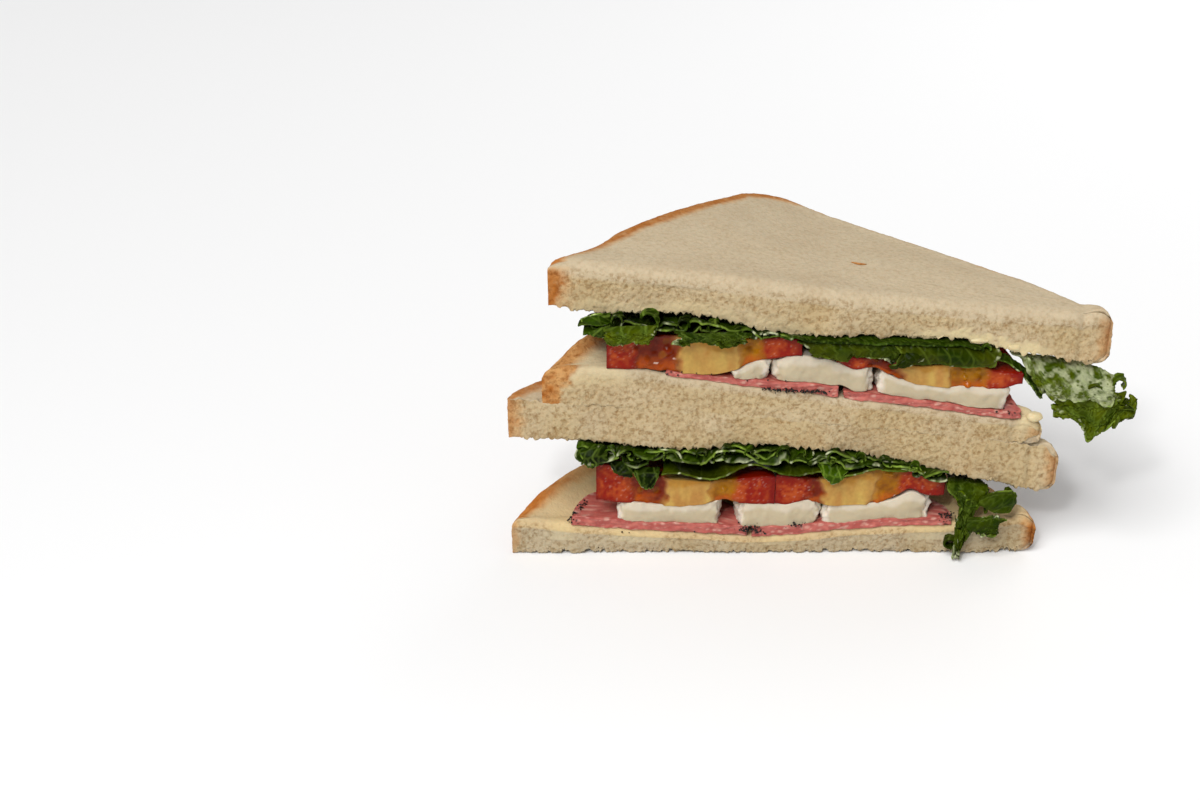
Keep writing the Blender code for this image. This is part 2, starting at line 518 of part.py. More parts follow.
def add_loose_leaves():
    leaves = [
        ("lettuce_low_strip", draped(LOW_STRIP, 0.0, 0, 0.0), 4, 4, LETTUCE_PALE),
        ("lettuce_low_sprig", draped(LOW_SPRIG, 0.2, 1, 0.5), 9, 5, LETTUCE),
        ("lettuce_low_sprig_round", draped(LOW_SPRIG_ROUND, 0.0, 0, 0.0), 7, 5, LETTUCE),
        ("lettuce_low_sprig_flare", draped(LOW_SPRIG_FLARE, 0.0, 0, 0.0), 7, 5, LETTUCE),
        ("lettuce_up_flap_left", draped(UP_FLAP_LEFT, 0.8, 1.5, 1.0), 5, 10, LETTUCE_PALE),
        ("lettuce_up_flap_right", draped(UP_FLAP_RIGHT, 0.6, 2, 2.0), 4, 12, LETTUCE_PALE),
        ("lettuce_up_inner_left", draped(UP_INNER_LEFT, 0.3, 2, 0.0), 4, 9, LETTUCE_PALE),
        ("lettuce_up_inner_right", draped(UP_INNER_RIGHT, 0.3, 2, 1.0), 4, 10, LETTUCE_PALE),
        ("lettuce_up_stem", draped(UP_STEM, 0.0, 0, 0.0), 3, 7, LETTUCE),
        ("lettuce_up_tail", draped(UP_TAIL, 0.5, 2, 0.6), 6, 12, LETTUCE_PALE),
        ("lettuce_up_frill", draped(UP_FRILL, 1.0, 3, 0.0), 6, 14, LETTUCE),
    ]
    for name, surface, rows, cols, colour in leaves:
        make(name, leaf(surface, rows, cols, LEAF_THICKNESS), colour, 0.35)


def add_crust_leaves():
    """The leaf edges that hang out over the crusts at the back."""
    leaves = [
        ("lettuce_low_edge_left", frill((-56, 27), (-20, 70), 25.5, 26, 20, 6, 4, 0.0)),
        ("lettuce_low_edge_right", frill((12, 57), (54, 22), 26, 25, 18, 6, 5, 1.0)),
        ("lettuce_up_edge_left", frill((-46, 26), (-14, 64), 73, 72.6, 70, 5, 4, 2.0)),
        ("lettuce_up_edge_right", frill((14, 55), (50, 25), 70, 68, 62, 7, 5, 3.0)),
    ]
    for name, surface in leaves:
        make(name, leaf(surface, 5, 15, LEAF_THICKNESS), LETTUCE, 0.35)


def clear_scene():
    for obj in list(bpy.data.objects):
        bpy.data.objects.remove(obj)


def centre_on_base():
    """Moves the meshes together so that the origin is the middle of the base of their bounding box."""
    objects = list(bpy.data.objects)
    corners = np.array([vertex.co for obj in objects for vertex in obj.data.vertices])
    low, high = corners.min(0), corners.max(0)
    shift = Matrix.Translation((-(low[0] + high[0]) / 2, -(low[1] + high[1]) / 2, -low[2]))
    for obj in objects:
        obj.data.transform(shift)


def main():
    clear_scene()
    add_breads()
    add_salami()
    add_cheese()
    add_tomato()
    add_main_leaves()
    add_loose_leaves()
    add_crust_leaves()
    centre_on_base()


main()
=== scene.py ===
"""Looks of half a double-stacked sandwich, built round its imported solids.

Every piece is worked out in the part's design frame: millimetres, the cut face in y = 0 and looking along
-Y, the bottom slice on z = 0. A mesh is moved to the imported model's frame when it is made.
"""

import math

import bpy
import numpy as np
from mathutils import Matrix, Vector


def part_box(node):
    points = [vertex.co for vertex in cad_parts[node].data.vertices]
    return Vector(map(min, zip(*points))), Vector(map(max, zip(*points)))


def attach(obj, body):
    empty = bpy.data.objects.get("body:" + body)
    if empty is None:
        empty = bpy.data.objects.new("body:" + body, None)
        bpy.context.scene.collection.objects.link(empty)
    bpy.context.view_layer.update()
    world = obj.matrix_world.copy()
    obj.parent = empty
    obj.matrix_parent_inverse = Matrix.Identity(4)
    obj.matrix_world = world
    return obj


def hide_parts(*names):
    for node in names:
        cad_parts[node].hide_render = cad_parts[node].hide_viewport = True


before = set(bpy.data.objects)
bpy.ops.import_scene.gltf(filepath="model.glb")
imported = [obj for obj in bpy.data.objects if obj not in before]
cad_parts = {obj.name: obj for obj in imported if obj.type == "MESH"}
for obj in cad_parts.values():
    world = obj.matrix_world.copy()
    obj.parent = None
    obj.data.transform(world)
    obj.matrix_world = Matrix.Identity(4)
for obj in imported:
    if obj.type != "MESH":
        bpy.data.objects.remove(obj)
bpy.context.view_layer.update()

MM = 0.001
CUT_ANGLE_LEFT = 50.0
CUT_ANGLE_RIGHT = 90.0 - CUT_ANGLE_LEFT
SLICE_CUT_LENGTH = 158.0
LOAF_CORNER_RADIUS = 13.0
TIP_RADIUS = 9.0
CRUST_TRIM = 4.0
SHOULDER_FROM_TIP = 13.0
SHOULDER_DEPTH = 1.3
SHOULDER_WIDTH = 3.5
RIM_WIDTH = 13.0
GAP = 0.4
LEAF_THICKNESS = 0.5

# How high the hidden stacks behind the cut reach above the bread or salami under them.
SALAMI_BACK_TOP = 3.0
CHEESE_BACK_TOP = 5.6
TOMATO_BACK_TOP = 13.0

BREAD_1_LEFT = -78.5
BREAD_2_LEFT, BREAD_2_CUT = -78.5, 162.0
BREAD_3_LEFT, BREAD_3_CUT = -68.5, 146.0
BREAD_4_LEFT, BREAD_4_CUT = -66.5, 160.0

# The design frame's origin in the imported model's frame.
PACKED_LOW = np.array(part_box("bread_1_bottom")[0])
ORIGIN = PACKED_LOW - MM * np.array([BREAD_1_LEFT, 0.0, 0.0])

# Heights along the cut face, as (x, z) pairs, from the table upwards.
BREAD_1_TOP = [(-79, 12), (-60, 10), (-40, 8.3), (-20, 7.2), (-5, 6.2), (8, 6.9), (25, 8.8),
               (40, 9.8), (55, 10.3), (68, 12.5), (79, 13)]
SALAMI_LOW_TOP = [(-62, 13), (-50, 12.2), (-40, 11.2), (-20, 10.4), (-5, 9.6), (8, 10.2), (20, 10.8),
                  (32, 11.9), (45, 12.3), (55, 13)]
CHEESE_LOW_TOPS = [
    (-46.5, -15.5, [(-47, 17.6), (-40, 17), (-30, 16.2), (-22, 16.8), (-15, 18)]),
    (-10.5, 14.0, [(-11, 16.8), (-3, 17), (4, 17), (9, 18), (14, 17)]),
    (15.5, 47.0, [(15, 16.5), (25, 16.8), (33, 17.2), (37, 18.8), (40, 21), (44, 19.8), (47, 18.8)]),
]
TOMATO_LOW = [
    (-53.0, -0.5,
     [(-53, 19.5), (-48, 18.7), (-40, 17.8), (-30, 17.1), (-22, 17.7), (-15, 19), (-8, 18), (0, 17.9)],
     [(-53, 31), (-45, 29.5), (-38, 27), (-30, 25.5), (-15, 25.2), (-8, 26), (0, 26.5)]),
    (0.5, 50.0,
     [(0, 18), (4, 17.9), (9, 18.9), (14, 17.8), (25, 17.6), (33, 18.4), (37, 21), (40, 23.4),
      (44, 21.6), (50, 21)],
     [(0, 27), (10, 26), (20, 26), (27, 28.3), (35, 28.8), (43, 28.2), (50, 26)]),
]
# The crest of both lower tomato slices, from the left one's first point to the right one's last.
TOMATO_LOW_CREST = TOMATO_LOW[0][3] + TOMATO_LOW[1][3][1:]
BREAD_2_BOTTOM = [(-79, 40), (-60, 39.3), (-50, 38.4), (-40, 37.2), (-25, 36.4), (-10, 38), (0, 37.8),
                  (15, 36.2), (25, 34.8), (35, 32.6), (45, 30.4), (52, 28.6), (62, 26.2), (72, 23.4),
                  (84, 21.5)]
SEAM = [(-79, 53.2), (-68, 52), (-40, 49.3), (-10, 47.2), (20, 44), (50, 40.3), (76, 37.3), (84, 36)]
BREAD_3_TOP = [(-69, 62), (-60, 63), (-45, 62.5), (-30, 60), (-20, 58.7), (-10, 57.2), (0, 55.8),
               (10, 54.8), (20, 52.8), (30, 51.7), (40, 50.5), (50, 49), (60, 47.2), (70, 46.6), (78, 46.5)]
SALAMI_UP_TOPS = [
    (-33.0, 17.0, [(-33, 61.8), (-28, 61), (-20, 60.3), (-10, 59.3), (0, 58.4), (10, 58), (17, 57)]),
    (18.5, 70.5, [(18, 55.4), (30, 54), (40, 52.7), (50, 51.1), (60, 49.4), (70, 49)]),
]
CHEESE_UP = [
    (-14.0, -3.5, [(-14, 60.4), (-3, 59.2)], [(-14, 61.9), (-10, 63.5), (-6, 65), (-3, 65)]),
    (-2.5, 27.0, [(-3, 59.4), (8, 58.7), (14, 58.2), (18, 57.4), (21, 56.2), (27, 55.4)],
     [(-3, 64.8), (4, 66.8), (10, 66), (15, 64.6), (20, 62.4), (27, 62.6)]),
    (28.5, 66.0, [(28, 54.9), (35, 54), (45, 52.6), (55, 50.9), (62, 50), (66, 49.9)],
     [(28, 61.2), (35, 58.8), (42, 57.2), (50, 56.2), (58, 56.3), (66, 56.2)]),
]
TOMATO_UP = [
    (-50.0, 5.0,
     [(-50, 63.5), (-42, 63.1), (-36, 62.7), (-30, 62), (-20, 61.6), (-15, 62.6), (-10, 64.4),
      (-6, 65.8), (0, 67), (5, 67.6)],
     [(-50, 70.5), (-40, 72.5), (-30, 72.5), (-20, 71.5), (-10, 71.5), (0, 72.2), (5, 71.8)]),
    (16.0, 69.0,
     [(16, 65.2), (20, 63.3), (27, 63.3), (31, 61.6), (35, 59.8), (42, 58), (50, 56.9), (58, 56.9),
      (65, 57.1), (69, 58.4)],
     [(16, 66.8), (22, 66), (30, 65.2), (37, 63.6), (45, 63.6), (55, 63), (69, 60.8)]),
]
BREAD_4_BOTTOM = [(-67, 82.5), (-55, 80.7), (-40, 80.2), (-30, 80.2), (-20, 79), (-10, 76.4), (0, 74),
                  (10, 73.2), (25, 73), (40, 72.4), (52, 72.2), (60, 70), (70, 67.5), (80, 66), (94, 64)]
BREAD_4_TOP = [(-67, 96.5), (-50, 94.8), (-20, 91.5), (0, 88.8), (20, 86), (40, 84), (60, 82),
               (80, 80.5), (94, 80)]


def smooth(t):
    """0 below 0, 1 above 1, and an S-shaped step between."""
    t = np.clip(t, 0.0, 1.0)
    return t * t * (3 - 2 * t)


def bump(t, middle, width):
    """1 where t is at the middle, falling off to both sides within about the width."""
    return np.exp(-(((t - middle) / width) ** 2))


def between(t, start, end, start_slope, end_slope):
    """A smooth passage from start to end as t goes from 0 to 1, with the slopes that it has at both."""
    near = (1 + 2 * t) * (1 - t) ** 2 * start + t * t * (3 - 2 * t) * end
    return near + t * (1 - t) ** 2 * start_slope - t * t * (1 - t) * end_slope


def curve(pairs):
    """A smooth height along x through (x, z) pairs, level outside them."""
    xs, zs = np.array(pairs, float).T
    slopes = np.gradient(zs, xs)
    slopes[0] = slopes[-1] = 0.0

    def height(x, y=0.0):
        x = np.clip(x, xs[0], xs[-1])
        i = np.clip(np.searchsorted(xs, x, side="right") - 1, 0, len(xs) - 2)
        span = xs[i + 1] - xs[i]
        passage = between((x - xs[i]) / span, zs[i], zs[i + 1], span * slopes[i], span * slopes[i + 1])
        return passage + 0.0 * y

    return height


def sway(x, y, phase):
    """The slow waves that a filling and its bread share behind the cut."""
    return smooth(y / 20.0) * (0.7 * np.sin(x / 17.0 + phase) + 0.6 * np.cos(y / 14.0 + x / 31.0 + phase))


def walk(legs, step):
    """Points along a path that starts along +Y: each leg is a length and a turn to the right in degrees."""
    points, heading, at = [(0.0, 0.0)], math.radians(90), np.zeros(2)
    for length, turn in legs:
        count = max(1, round(length / step)) if turn == 0 else max(3, round(length / step * 2))
        for _ in range(count):
            heading -= math.radians(turn) / count / 2
            at = at + length / count * np.array([math.cos(heading), math.sin(heading)])
            heading -= math.radians(turn) / count / 2
            points.append(tuple(at))
    return np.array(points)


def crust_path(cut_length, step, shoulder=SHOULDER_DEPTH):
    """The crust of a half slice from the left end of its cut to the right end, round the loaf's corner."""
    arc_left = math.radians(CUT_ANGLE_RIGHT) * TIP_RADIUS
    arc_right = math.radians(CUT_ANGLE_LEFT) * TIP_RADIUS
    corner = math.radians(90) * LOAF_CORNER_RADIUS
    left = SLICE_CUT_LENGTH * math.cos(math.radians(CUT_ANGLE_LEFT)) - LOAF_CORNER_RADIUS - CRUST_TRIM
    legs = [(arc_left, CUT_ANGLE_RIGHT), (left, 0), (corner, 90), (1.0, 0), (arc_right, CUT_ANGLE_LEFT)]
    above_cut = walk(legs, step)[-1][1]
    legs[3] = (1.0 + above_cut / math.sin(math.radians(CUT_ANGLE_RIGHT)), 0)
    path = walk(legs, step)
    path *= cut_length / path[-1, 0]
    from_tip = np.hypot(*(path - path[-1]).T)
    notch = shoulder * bump(from_tip, SHOULDER_FROM_TIP, SHOULDER_WIDTH)
    path[:, 1] -= notch
    path[-1, 1] = path[0, 1] = 0.0
    return path


def slice_outline(left, cut_length, step, cut_step):
    """A half slice in plan, anticlockwise from the left end of the cut: the cut, then the crust."""
    crust = crust_path(cut_length, step) + [left, 0.0]
    cut_x = np.linspace(left, left + cut_length, max(3, round(cut_length / cut_step)))[:-1]
    cut = np.column_stack([cut_x, np.zeros(len(cut_x))])
    return np.vstack([cut, crust[::-1][:-1]])


def half_disc(x0, x1, depth, step, centre_y=0.0):
    """A round slice cut by the plane y = centre_y, from x0 to x1 along the cut and depth mm deep."""
    count = max(5, round(math.pi * (x1 - x0) / 2 / step))
    angles = np.linspace(0, math.pi, count)
    middle, radius = (x0 + x1) / 2, (x1 - x0) / 2
    arc = np.column_stack([middle + radius * np.cos(angles), centre_y + depth * np.sin(angles)])
    across = np.linspace(x0, x1, max(3, round((x1 - x0) / step)))[1:-1]
    return np.vstack([np.column_stack([across, np.full(len(across), centre_y)]), arc])


def disc(middle, radii, step):
    """A whole round slice in plan."""
    count = max(10, round(2 * math.pi * max(radii) / step))
    angles = np.linspace(0, 2 * math.pi, count, endpoint=False)
    return np.column_stack([middle[0] + radii[0] * np.cos(angles), middle[1] + radii[1] * np.sin(angles)])


def block(x0, x1, y0, y1, step, power=5.0):
    """A slice of cheese in plan: a rectangle with soft corners."""
    middle = np.array([(x0 + x1) / 2, (y0 + y1) / 2])
    radii = np.array([(x1 - x0) / 2, (y1 - y0) / 2])
    count = max(12, round(2 * (radii.sum() * 2) / step))
    angles = np.linspace(0, 2 * math.pi, count, endpoint=False) + 0.05
    around = np.column_stack([np.cos(angles), np.sin(angles)])
    reach = (np.abs(around) ** power).sum(1) ** (-1 / power)
    return middle + around * reach[:, None] * radii


class Bed:
    """The plan and the height changes that the pieces on one slice share."""

    def __init__(self, left, cut_length, lift, phase):
        self.crust = crust_path(cut_length, 4.0, shoulder=0.0) + [left, 0.0]
        self.lift = lift
        self.phase = phase

    def near_crust(self, x, y):
        """1 at the crust and beyond it, 0 from RIM_WIDTH inside it."""
        x, y = np.broadcast_arrays(np.asarray(x, float), np.asarray(y, float))
        a, b = self.crust[:-1], self.crust[1:]
        span = b - a
        normal = np.column_stack([span[:, 1], -span[:, 0]]) / np.hypot(*span.T)[:, None]
        point = np.stack([x, y], -1)[..., None, :]
        inside = ((point - a) * normal).sum(-1).min(-1)
        return 1.0 - smooth(inside / RIM_WIDTH)

    def change(self, x, y):
        full_rim = self.lift * smooth((y - 1.0) / 14.0) * self.near_crust(x, y)
        return sway(np.asarray(x, float), np.asarray(y, float), self.phase) + full_rim

    def over(self, profile, extra=0.0, behind=0.0):
        """The profile along the cut, carried back over this slice, and raised by behind at the back."""
        height = curve(profile)
        return lambda x, y: height(x) + extra + behind * smooth(y / 10.0) + self.change(x, y)


LOW_BED = Bed(BREAD_1_LEFT, SLICE_CUT_LENGTH, 5.0, 0.4)
LOW_ROOF = Bed(BREAD_2_LEFT, BREAD_2_CUT, -3.0, 0.4)
MIDDLE = Bed(BREAD_2_LEFT, BREAD_2_CUT, 0.0, 1.9)
UP_BED = Bed(BREAD_3_LEFT, BREAD_3_CUT, 4.5, 2.6)
UP_ROOF = Bed(BREAD_4_LEFT, BREAD_4_CUT, -3.0, 2.6)
TOP = Bed(BREAD_4_LEFT, BREAD_4_CUT, -0.8, 4.0)

# The lowest that the main leaves reach along the cut.
LEAF_LOW_FLOOR = [(-58, 33.5), (-52, 32.6), (-45, 31.6), (-38, 31), (-30, 31.4), (-15, 32), (0, 32.4),
                  (10, 32), (20, 31.4), (27, 31), (35, 30.6), (43, 29.2), (50, 27.2)]
LEAF_UP_FLOOR = [(-57, 72.2), (-50, 72.2), (-40, 73.4), (-30, 73.4), (-20, 72.5), (-10, 72.6), (0, 72.9),
                 (10, 71.8), (25, 71.5), (40, 70.9), (52, 70.6), (60, 68.6), (68, 66.2)]


def ruffled(low, high, left_edge, right_edge, y_front, y_back, phase):
    """A leaf that waves between two heights, over the plan between two side edges given along y."""
    left_x, right_x = curve(left_edge), curve(right_edge)

    def surface(u, v):
        y = y_front + (y_back - y_front) * v ** 1.2
        x = left_x(y) + (right_x(y) - left_x(y)) * u
        bottom, top = low(x, y), high(x, y)
        room = np.maximum((top - bottom) / 2 - 0.7, 0.0)
        short_wave = np.sin(x / 3.6 + 1.3 * np.sin(y / 6.0) + phase)
        long_wave = np.sin(x / 7.1 - y / 5.0 + 2 * phase)
        return x, y, (bottom + top) / 2 + room * (0.6 * short_wave + 0.4 * long_wave)

    return surface


def through(points, t):
    """Where a smooth path through a stack of points is at t, from 0 to 1."""
    points = np.asarray(points, float)
    slopes = np.gradient(points, axis=0)
    at = np.clip(t, 0.0, 1.0) * (len(points) - 1)
    i = np.minimum(at.astype(int), len(points) - 2)
    s = (at - i).reshape((-1,) + (1,) * (points.ndim - 1))
    return between(s, points[i], points[i + 1], slopes[i], slopes[i + 1])


def draped(lines, ruffle=0.0, waves=0, phase=0.0):
    """A leaf through rows of points, from its hidden edge to its free edge, which is ruffled."""

    def surface(u, v):
        spots = through(through(lines, v[:, 0]).swapaxes(0, 1), u[0]).swapaxes(0, 1)
        normal = np.cross(np.gradient(spots, axis=1), np.gradient(spots, axis=0))
        normal /= np.linalg.norm(normal, axis=2, keepdims=True)
        push = ruffle * v ** 1.5 * np.sin(2 * np.pi * waves * u + phase + 1.2 * v)
        return tuple(np.moveaxis(spots + normal * push[..., None], -1, 0))

    return surface


def frill(start, end, inside_z, edge_z, outside_z, reach, waves, phase):
    """A leaf edge that hangs out over a crust, from start to end along it, in plan."""
    start, end = np.array(start, float), np.array(end, float)
    along = (end - start) / np.hypot(*(end - start))
    outward = np.array([-along[1], along[0]])
    lines = []
    for offset, z in ((-9.0, inside_z), (-1.0, edge_z), (reach, outside_z)):
        for_this = []
        for t in (0, 0.25, 0.5, 0.75, 1):
            spot = start + (end - start) * t + outward * offset * (0.4 + 2.4 * t * (1 - t))
            for_this.append((*spot, z))
        lines.append(for_this)
    return draped(lines, 1.6, waves, phase)


# Rows of points of the leaves that hang free, from the hidden row to the loose one.
LOW_STRIP = [
    [(-43, 1, 29.9), (-38, 0.6, 29.7), (-34, 1, 29.4)],
    [(-42, -1.6, 28.4), (-38, -2, 28), (-35, -1.8, 28)],
    [(-39.6, -2.4, 24.6), (-38, -2.6, 24.1), (-36.4, -2.4, 24.6)],
]
LOW_SPRIG = [
    [(52.5, 7, 24.2), (56, 7, 23.6), (62, 7, 22.4)],
    [(51.6, -1.4, 25), (56, -1.8, 24), (64, -1.2, 23)],
    [(54, -2.4, 17.5), (57.5, -2.8, 17.5), (62, -2.4, 17.5)],
    [(54.6, -2.6, 10), (56.8, -3.2, 10), (59.6, -2.8, 10.5)],
    [(54.2, -4.2, 1.2), (55, -4.4, 0.9), (56, -4.2, 1.4)],
]
LOW_SPRIG_ROUND = [
    [(60.8, -4, 22), (60.4, -4, 20.8), (60.6, -4, 19.6)],
    [(65, -3.6, 24.4), (65, -4.6, 20.5), (65.5, -4, 17.4)],
    [(69.4, -3, 23.6), (70, -4, 20.4), (69.6, -3.4, 17.6)],
    [(71.4, -2.6, 21.8), (71.8, -3, 20.4), (71.4, -2.8, 19)],
]
LOW_SPRIG_FLARE = [
    [(57.5, -4.4, 15.5), (57.4, -4.4, 13.5), (57.6, -4.4, 11.5)],
    [(63, -4.4, 15.8), (62.4, -5, 13), (62, -4.4, 9)],
    [(67, -4, 15.4), (66.4, -4.6, 11.5), (66.6, -4, 8.6)],
    [(69.4, -3.6, 15), (66.6, -4.2, 12), (69, -3.8, 7.6)],
]
UP_FLAP_LEFT = [
    [(-51, -4.4, 77.6), (-46, -4.8, 78.4), (-40, -4.8, 78.6), (-36, -4.4, 78.4)],
    [(-51, -5, 74.6), (-46, -5.4, 75), (-40, -5.4, 75.6), (-37, -5, 75.8)],
    [(-49.6, -4.4, 70.8), (-46, -4.6, 72.2), (-41, -4.6, 72.6), (-38, -4.4, 73.2)],
]
UP_FLAP_RIGHT = [
    [(-31, -4.4, 76.6), (-24, -4.8, 76.2), (-16, -4.8, 76.6), (-9, -4.2, 76)],
    [(-31.6, -4.8, 74.4), (-24, -5.2, 74.2), (-16, -5.2, 74.4), (-10, -4.6, 74)],
    [(-31.4, -4.2, 72.4), (-24, -4.4, 72.8), (-16, -4.4, 72.4), (-12, -4, 72.8)],
]
UP_INNER_LEFT = [
    [(4, 6, 71), (14, 6, 70.6), (23, 6, 70.6), (33, 6, 70.4)],
    [(4, 0, 72), (14, 0, 71.8), (23, 0, 71.6), (33, 0, 71.2)],
    [(7, -1.6, 70), (15, -2.2, 69.2), (24, -2, 68.6), (34, -1.8, 68.8)],
    [(9, -1.4, 67.2), (16, -1.8, 66.2), (24, -1.6, 65.4), (32, -1.4, 64.8)],
]
UP_INNER_RIGHT = [
    [(30, 6, 70.2), (40, 6, 70.2), (50, 6, 69.4), (62, 6, 67.6)],
    [(30, 0, 71.4), (40, 0, 71), (50, 0, 70.4), (62, 0, 68.6)],
    [(33, -1.8, 69.2), (41, -2.2, 68.6), (50, -2.2, 67.6), (62, -1.8, 66.4)],
    [(35, -1.4, 65.6), (42, -1.8, 64.8), (50, -1.8, 64.2), (61, -1.4, 63.6)],
]
UP_STEM = [
    [(61, 5, 66.9), (66, 4, 64.6), (72, 3, 60.4), (77, 2, 55.4)],
    [(61, 2, 65), (66, 1.4, 62.8), (71, 1, 58.6), (76, 0, 52.4)],
]
UP_TAIL = [
    [(66, 4, 66.4), (75, 4.6, 64.9), (84, 4.6, 63.6), (92, 2.4, 61.8), (95.6, 0, 60.6)],
    [(70, -0.6, 62.8), (76.6, -2.6, 59.4), (84, -3, 58.4), (92, -4, 57.4), (97.4, -3, 57.6)],
    [(74.6, -2, 56.2), (79.4, -4, 54.6), (86, -6, 54.2), (93, -6, 54.6), (97.4, -5, 55.8)],
]
UP_FRILL = [
    [(76, -2.4, 56.5), (84, -3.4, 57), (91, -4.2, 57), (97, -4, 57), (98.8, -3.2, 57.2)],
    [(79, -2.4, 52.4), (85, -3.6, 52.4), (91, -4.4, 52.6), (97, -4.2, 53), (99.8, -3.4, 54)],
    [(80.6, -2.2, 49.8), (86.4, -3.4, 48.8), (91.4, -4.4, 47.2), (96.6, -4, 48.4), (100, -3.2, 51.8)],
    [(82, -1.6, 48), (87.4, -3, 45.6), (90.2, -3.8, 41.8), (95.6, -3.6, 44.8), (99.4, -2.8, 49.4)],
]
LOW_CURL = [
    [(-58, 0, 37.4), (-54, -1, 38.6), (-50, -1, 38)],
    [(-59.4, -3, 35.6), (-54.5, -4, 36), (-50, -3.4, 35.6)],
    [(-57, -2.4, 33), (-54, -3.4, 32.4), (-50.6, -2.6, 33)],
]
LOW_TUFT = [
    [(12, -0.6, 32), (17, -0.8, 31.6), (22, -0.6, 31.6)],
    [(13.4, -2.8, 29.6), (17, -3.2, 29), (20.6, -2.8, 29.4)],
    [(15.4, -2.8, 26.8), (17, -3, 26), (19, -2.8, 27)],
]
LOW_SLIP = [
    [(-50, -0.6, 33), (-46, -0.8, 32.6), (-42, -0.6, 32)],
    [(-48.6, -2.8, 30.6), (-45, -3.2, 30), (-42, -2.8, 30)],
    [(-46, -2.8, 28.8), (-44, -3, 28.2), (-41.6, -2.8, 28.8)],
]
UP_SPIKE = [
    [(-49, -1, 81), (-49, -1.6, 79.4), (-48, -1, 77.8)],
    [(-53, -2.8, 81), (-53.4, -3.2, 79.6), (-52.6, -2.8, 78)],
    [(-57.8, -2.6, 79.6), (-57, -3, 79), (-56.6, -2.6, 78.2)],
]
UP_SPIKE_LOW = [
    [(-49, -1, 77.6), (-49, -1.6, 76), (-48, -1, 74.4)],
    [(-52.6, -2.8, 76.8), (-52.6, -3.2, 75.4), (-51.6, -2.8, 74)],
    [(-55.6, -2.6, 75.4), (-55, -3, 74.8), (-54, -2.6, 74)],
]
UP_TONGUE = [
    [(41, -1.4, 68.6), (38, -1.6, 69.4), (35, -1.2, 69.6)],
    [(39, -3, 66.4), (35.6, -3.4, 66.8), (33, -2.8, 67)],
    [(34, -2.8, 64.2), (31.4, -3, 64), (30.6, -2.6, 64.6)],
]


def chance(cells, seed):
    """A repeatable number from 0 to 1 for each whole-number cell (..., 3)."""
    mixed = cells.astype(np.int64) @ np.array([73856093, 19349663, 83492791]) + seed * 2654435761
    mixed = (mixed ^ (mixed >> 13)) * 1274126177
    mixed = (mixed ^ (mixed >> 16)) & 0xFFFFFF
    return mixed / 0xFFFFFF


def noise(p, seed):
    """Smooth noise from -1 to 1 with features one unit wide."""
    cell = np.floor(p).astype(np.int64)
    t = smooth(p - cell)
    total = np.zeros(p.shape[:-1])
    for corner in np.ndindex(2, 2, 2):
        weight = np.prod(np.where(corner, t, 1 - t), axis=-1)
        total += weight * chance(cell + corner, seed)
    return 2 * total - 1


def rough(p, seed, octaves=3):
    """Noise with finer and weaker detail added, about -1 to 1."""
    total, weight, size = np.zeros(p.shape[:-1]), 0.0, 1.0
    for k in range(octaves):
        total += noise(p * 2.03 ** k + 17.3 * k, seed + k) * size
        weight += size
        size *= 0.55
    return total / weight * 1.3


def holes(p, seed, smallest=0.18, largest=0.62):
    """How deep each point is in round pores scattered one to a unit cell, from 0 outside them to 1."""
    cell = np.floor(p).astype(np.int64)
    deep = np.zeros(p.shape[:-1])
    for step in np.ndindex(3, 3, 3):
        near = cell + np.array(step) - 1
        middle = near + np.stack([chance(near, seed + k) for k in range(3)], -1)
        radius = smallest + (largest - smallest) * chance(near, seed + 3) ** 2.2
        far = np.linalg.norm(p - middle, axis=-1) / radius
        deep = np.maximum(deep, np.clip(1 - far, 0, 1))
    return deep


def cell_edges(p, seed):
    """0 on the walls between scattered cells one unit wide, rising to about 1 inside them."""
    cell = np.floor(p).astype(np.int64)
    first = np.full(p.shape[:-1], 9.0)
    second = np.full(p.shape[:-1], 9.0)
    for step in np.ndindex(3, 3, 1):
        near = cell + np.array([step[0] - 1, step[1] - 1, 0])
        middle = near + np.stack([chance(near, seed), chance(near, seed + 1), 0 * chance(near, seed)], -1)
        far = np.linalg.norm((p - middle)[..., :2], axis=-1)
        second = np.minimum(second, np.maximum(first, far))
        first = np.minimum(first, far)
    return np.clip((second - first) * 2, 0, 1)


def flat(x, y):
    """Points (..., 3) in a plane, for noise that is read in two directions."""
    return np.stack(np.broadcast_arrays(x, y, 0.0 * x), -1)


def srgb(*rgb):
    """A linear colour from 0 to 255 display values."""
    value = np.array(rgb, float) / 255.0
    return np.where(value <= 0.04045, value / 12.92, ((value + 0.055) / 1.055) ** 2.4)


def mix(a, b, amount):
    """Blends two colours, each one colour or one for each point."""
    amount = np.clip(np.asarray(amount, float), 0, 1)[..., None]
    return a * (1 - amount) + b * amount


# Colours, read as the photograph shows them in soft light.
CRUMB_PALE = srgb(192, 175, 146)
CRUMB_CUT = srgb(187, 166, 127)
# A darker crumb colour, for random mottle and for painted shade in the pores.
CRUMB_MOTTLE_AND_PORE_SHADE = srgb(146, 108, 58)
CRUST_TAN = srgb(194, 146, 92)
CRUST_BROWN = srgb(162, 97, 40)
SPREAD = srgb(206, 188, 146)
# The colour that painted shade in the bread's pores multiplies the crumb by.
PORE_SHADE_TINT = (0.46, 0.33, 0.17)
MEAT = srgb(160, 75, 67)
MEAT_PALE = srgb(185, 103, 91)
MEAT_FAT = srgb(200, 154, 138)
PEPPER = srgb(26, 20, 16)
CHEESE_PASTE = srgb(186, 171, 141)
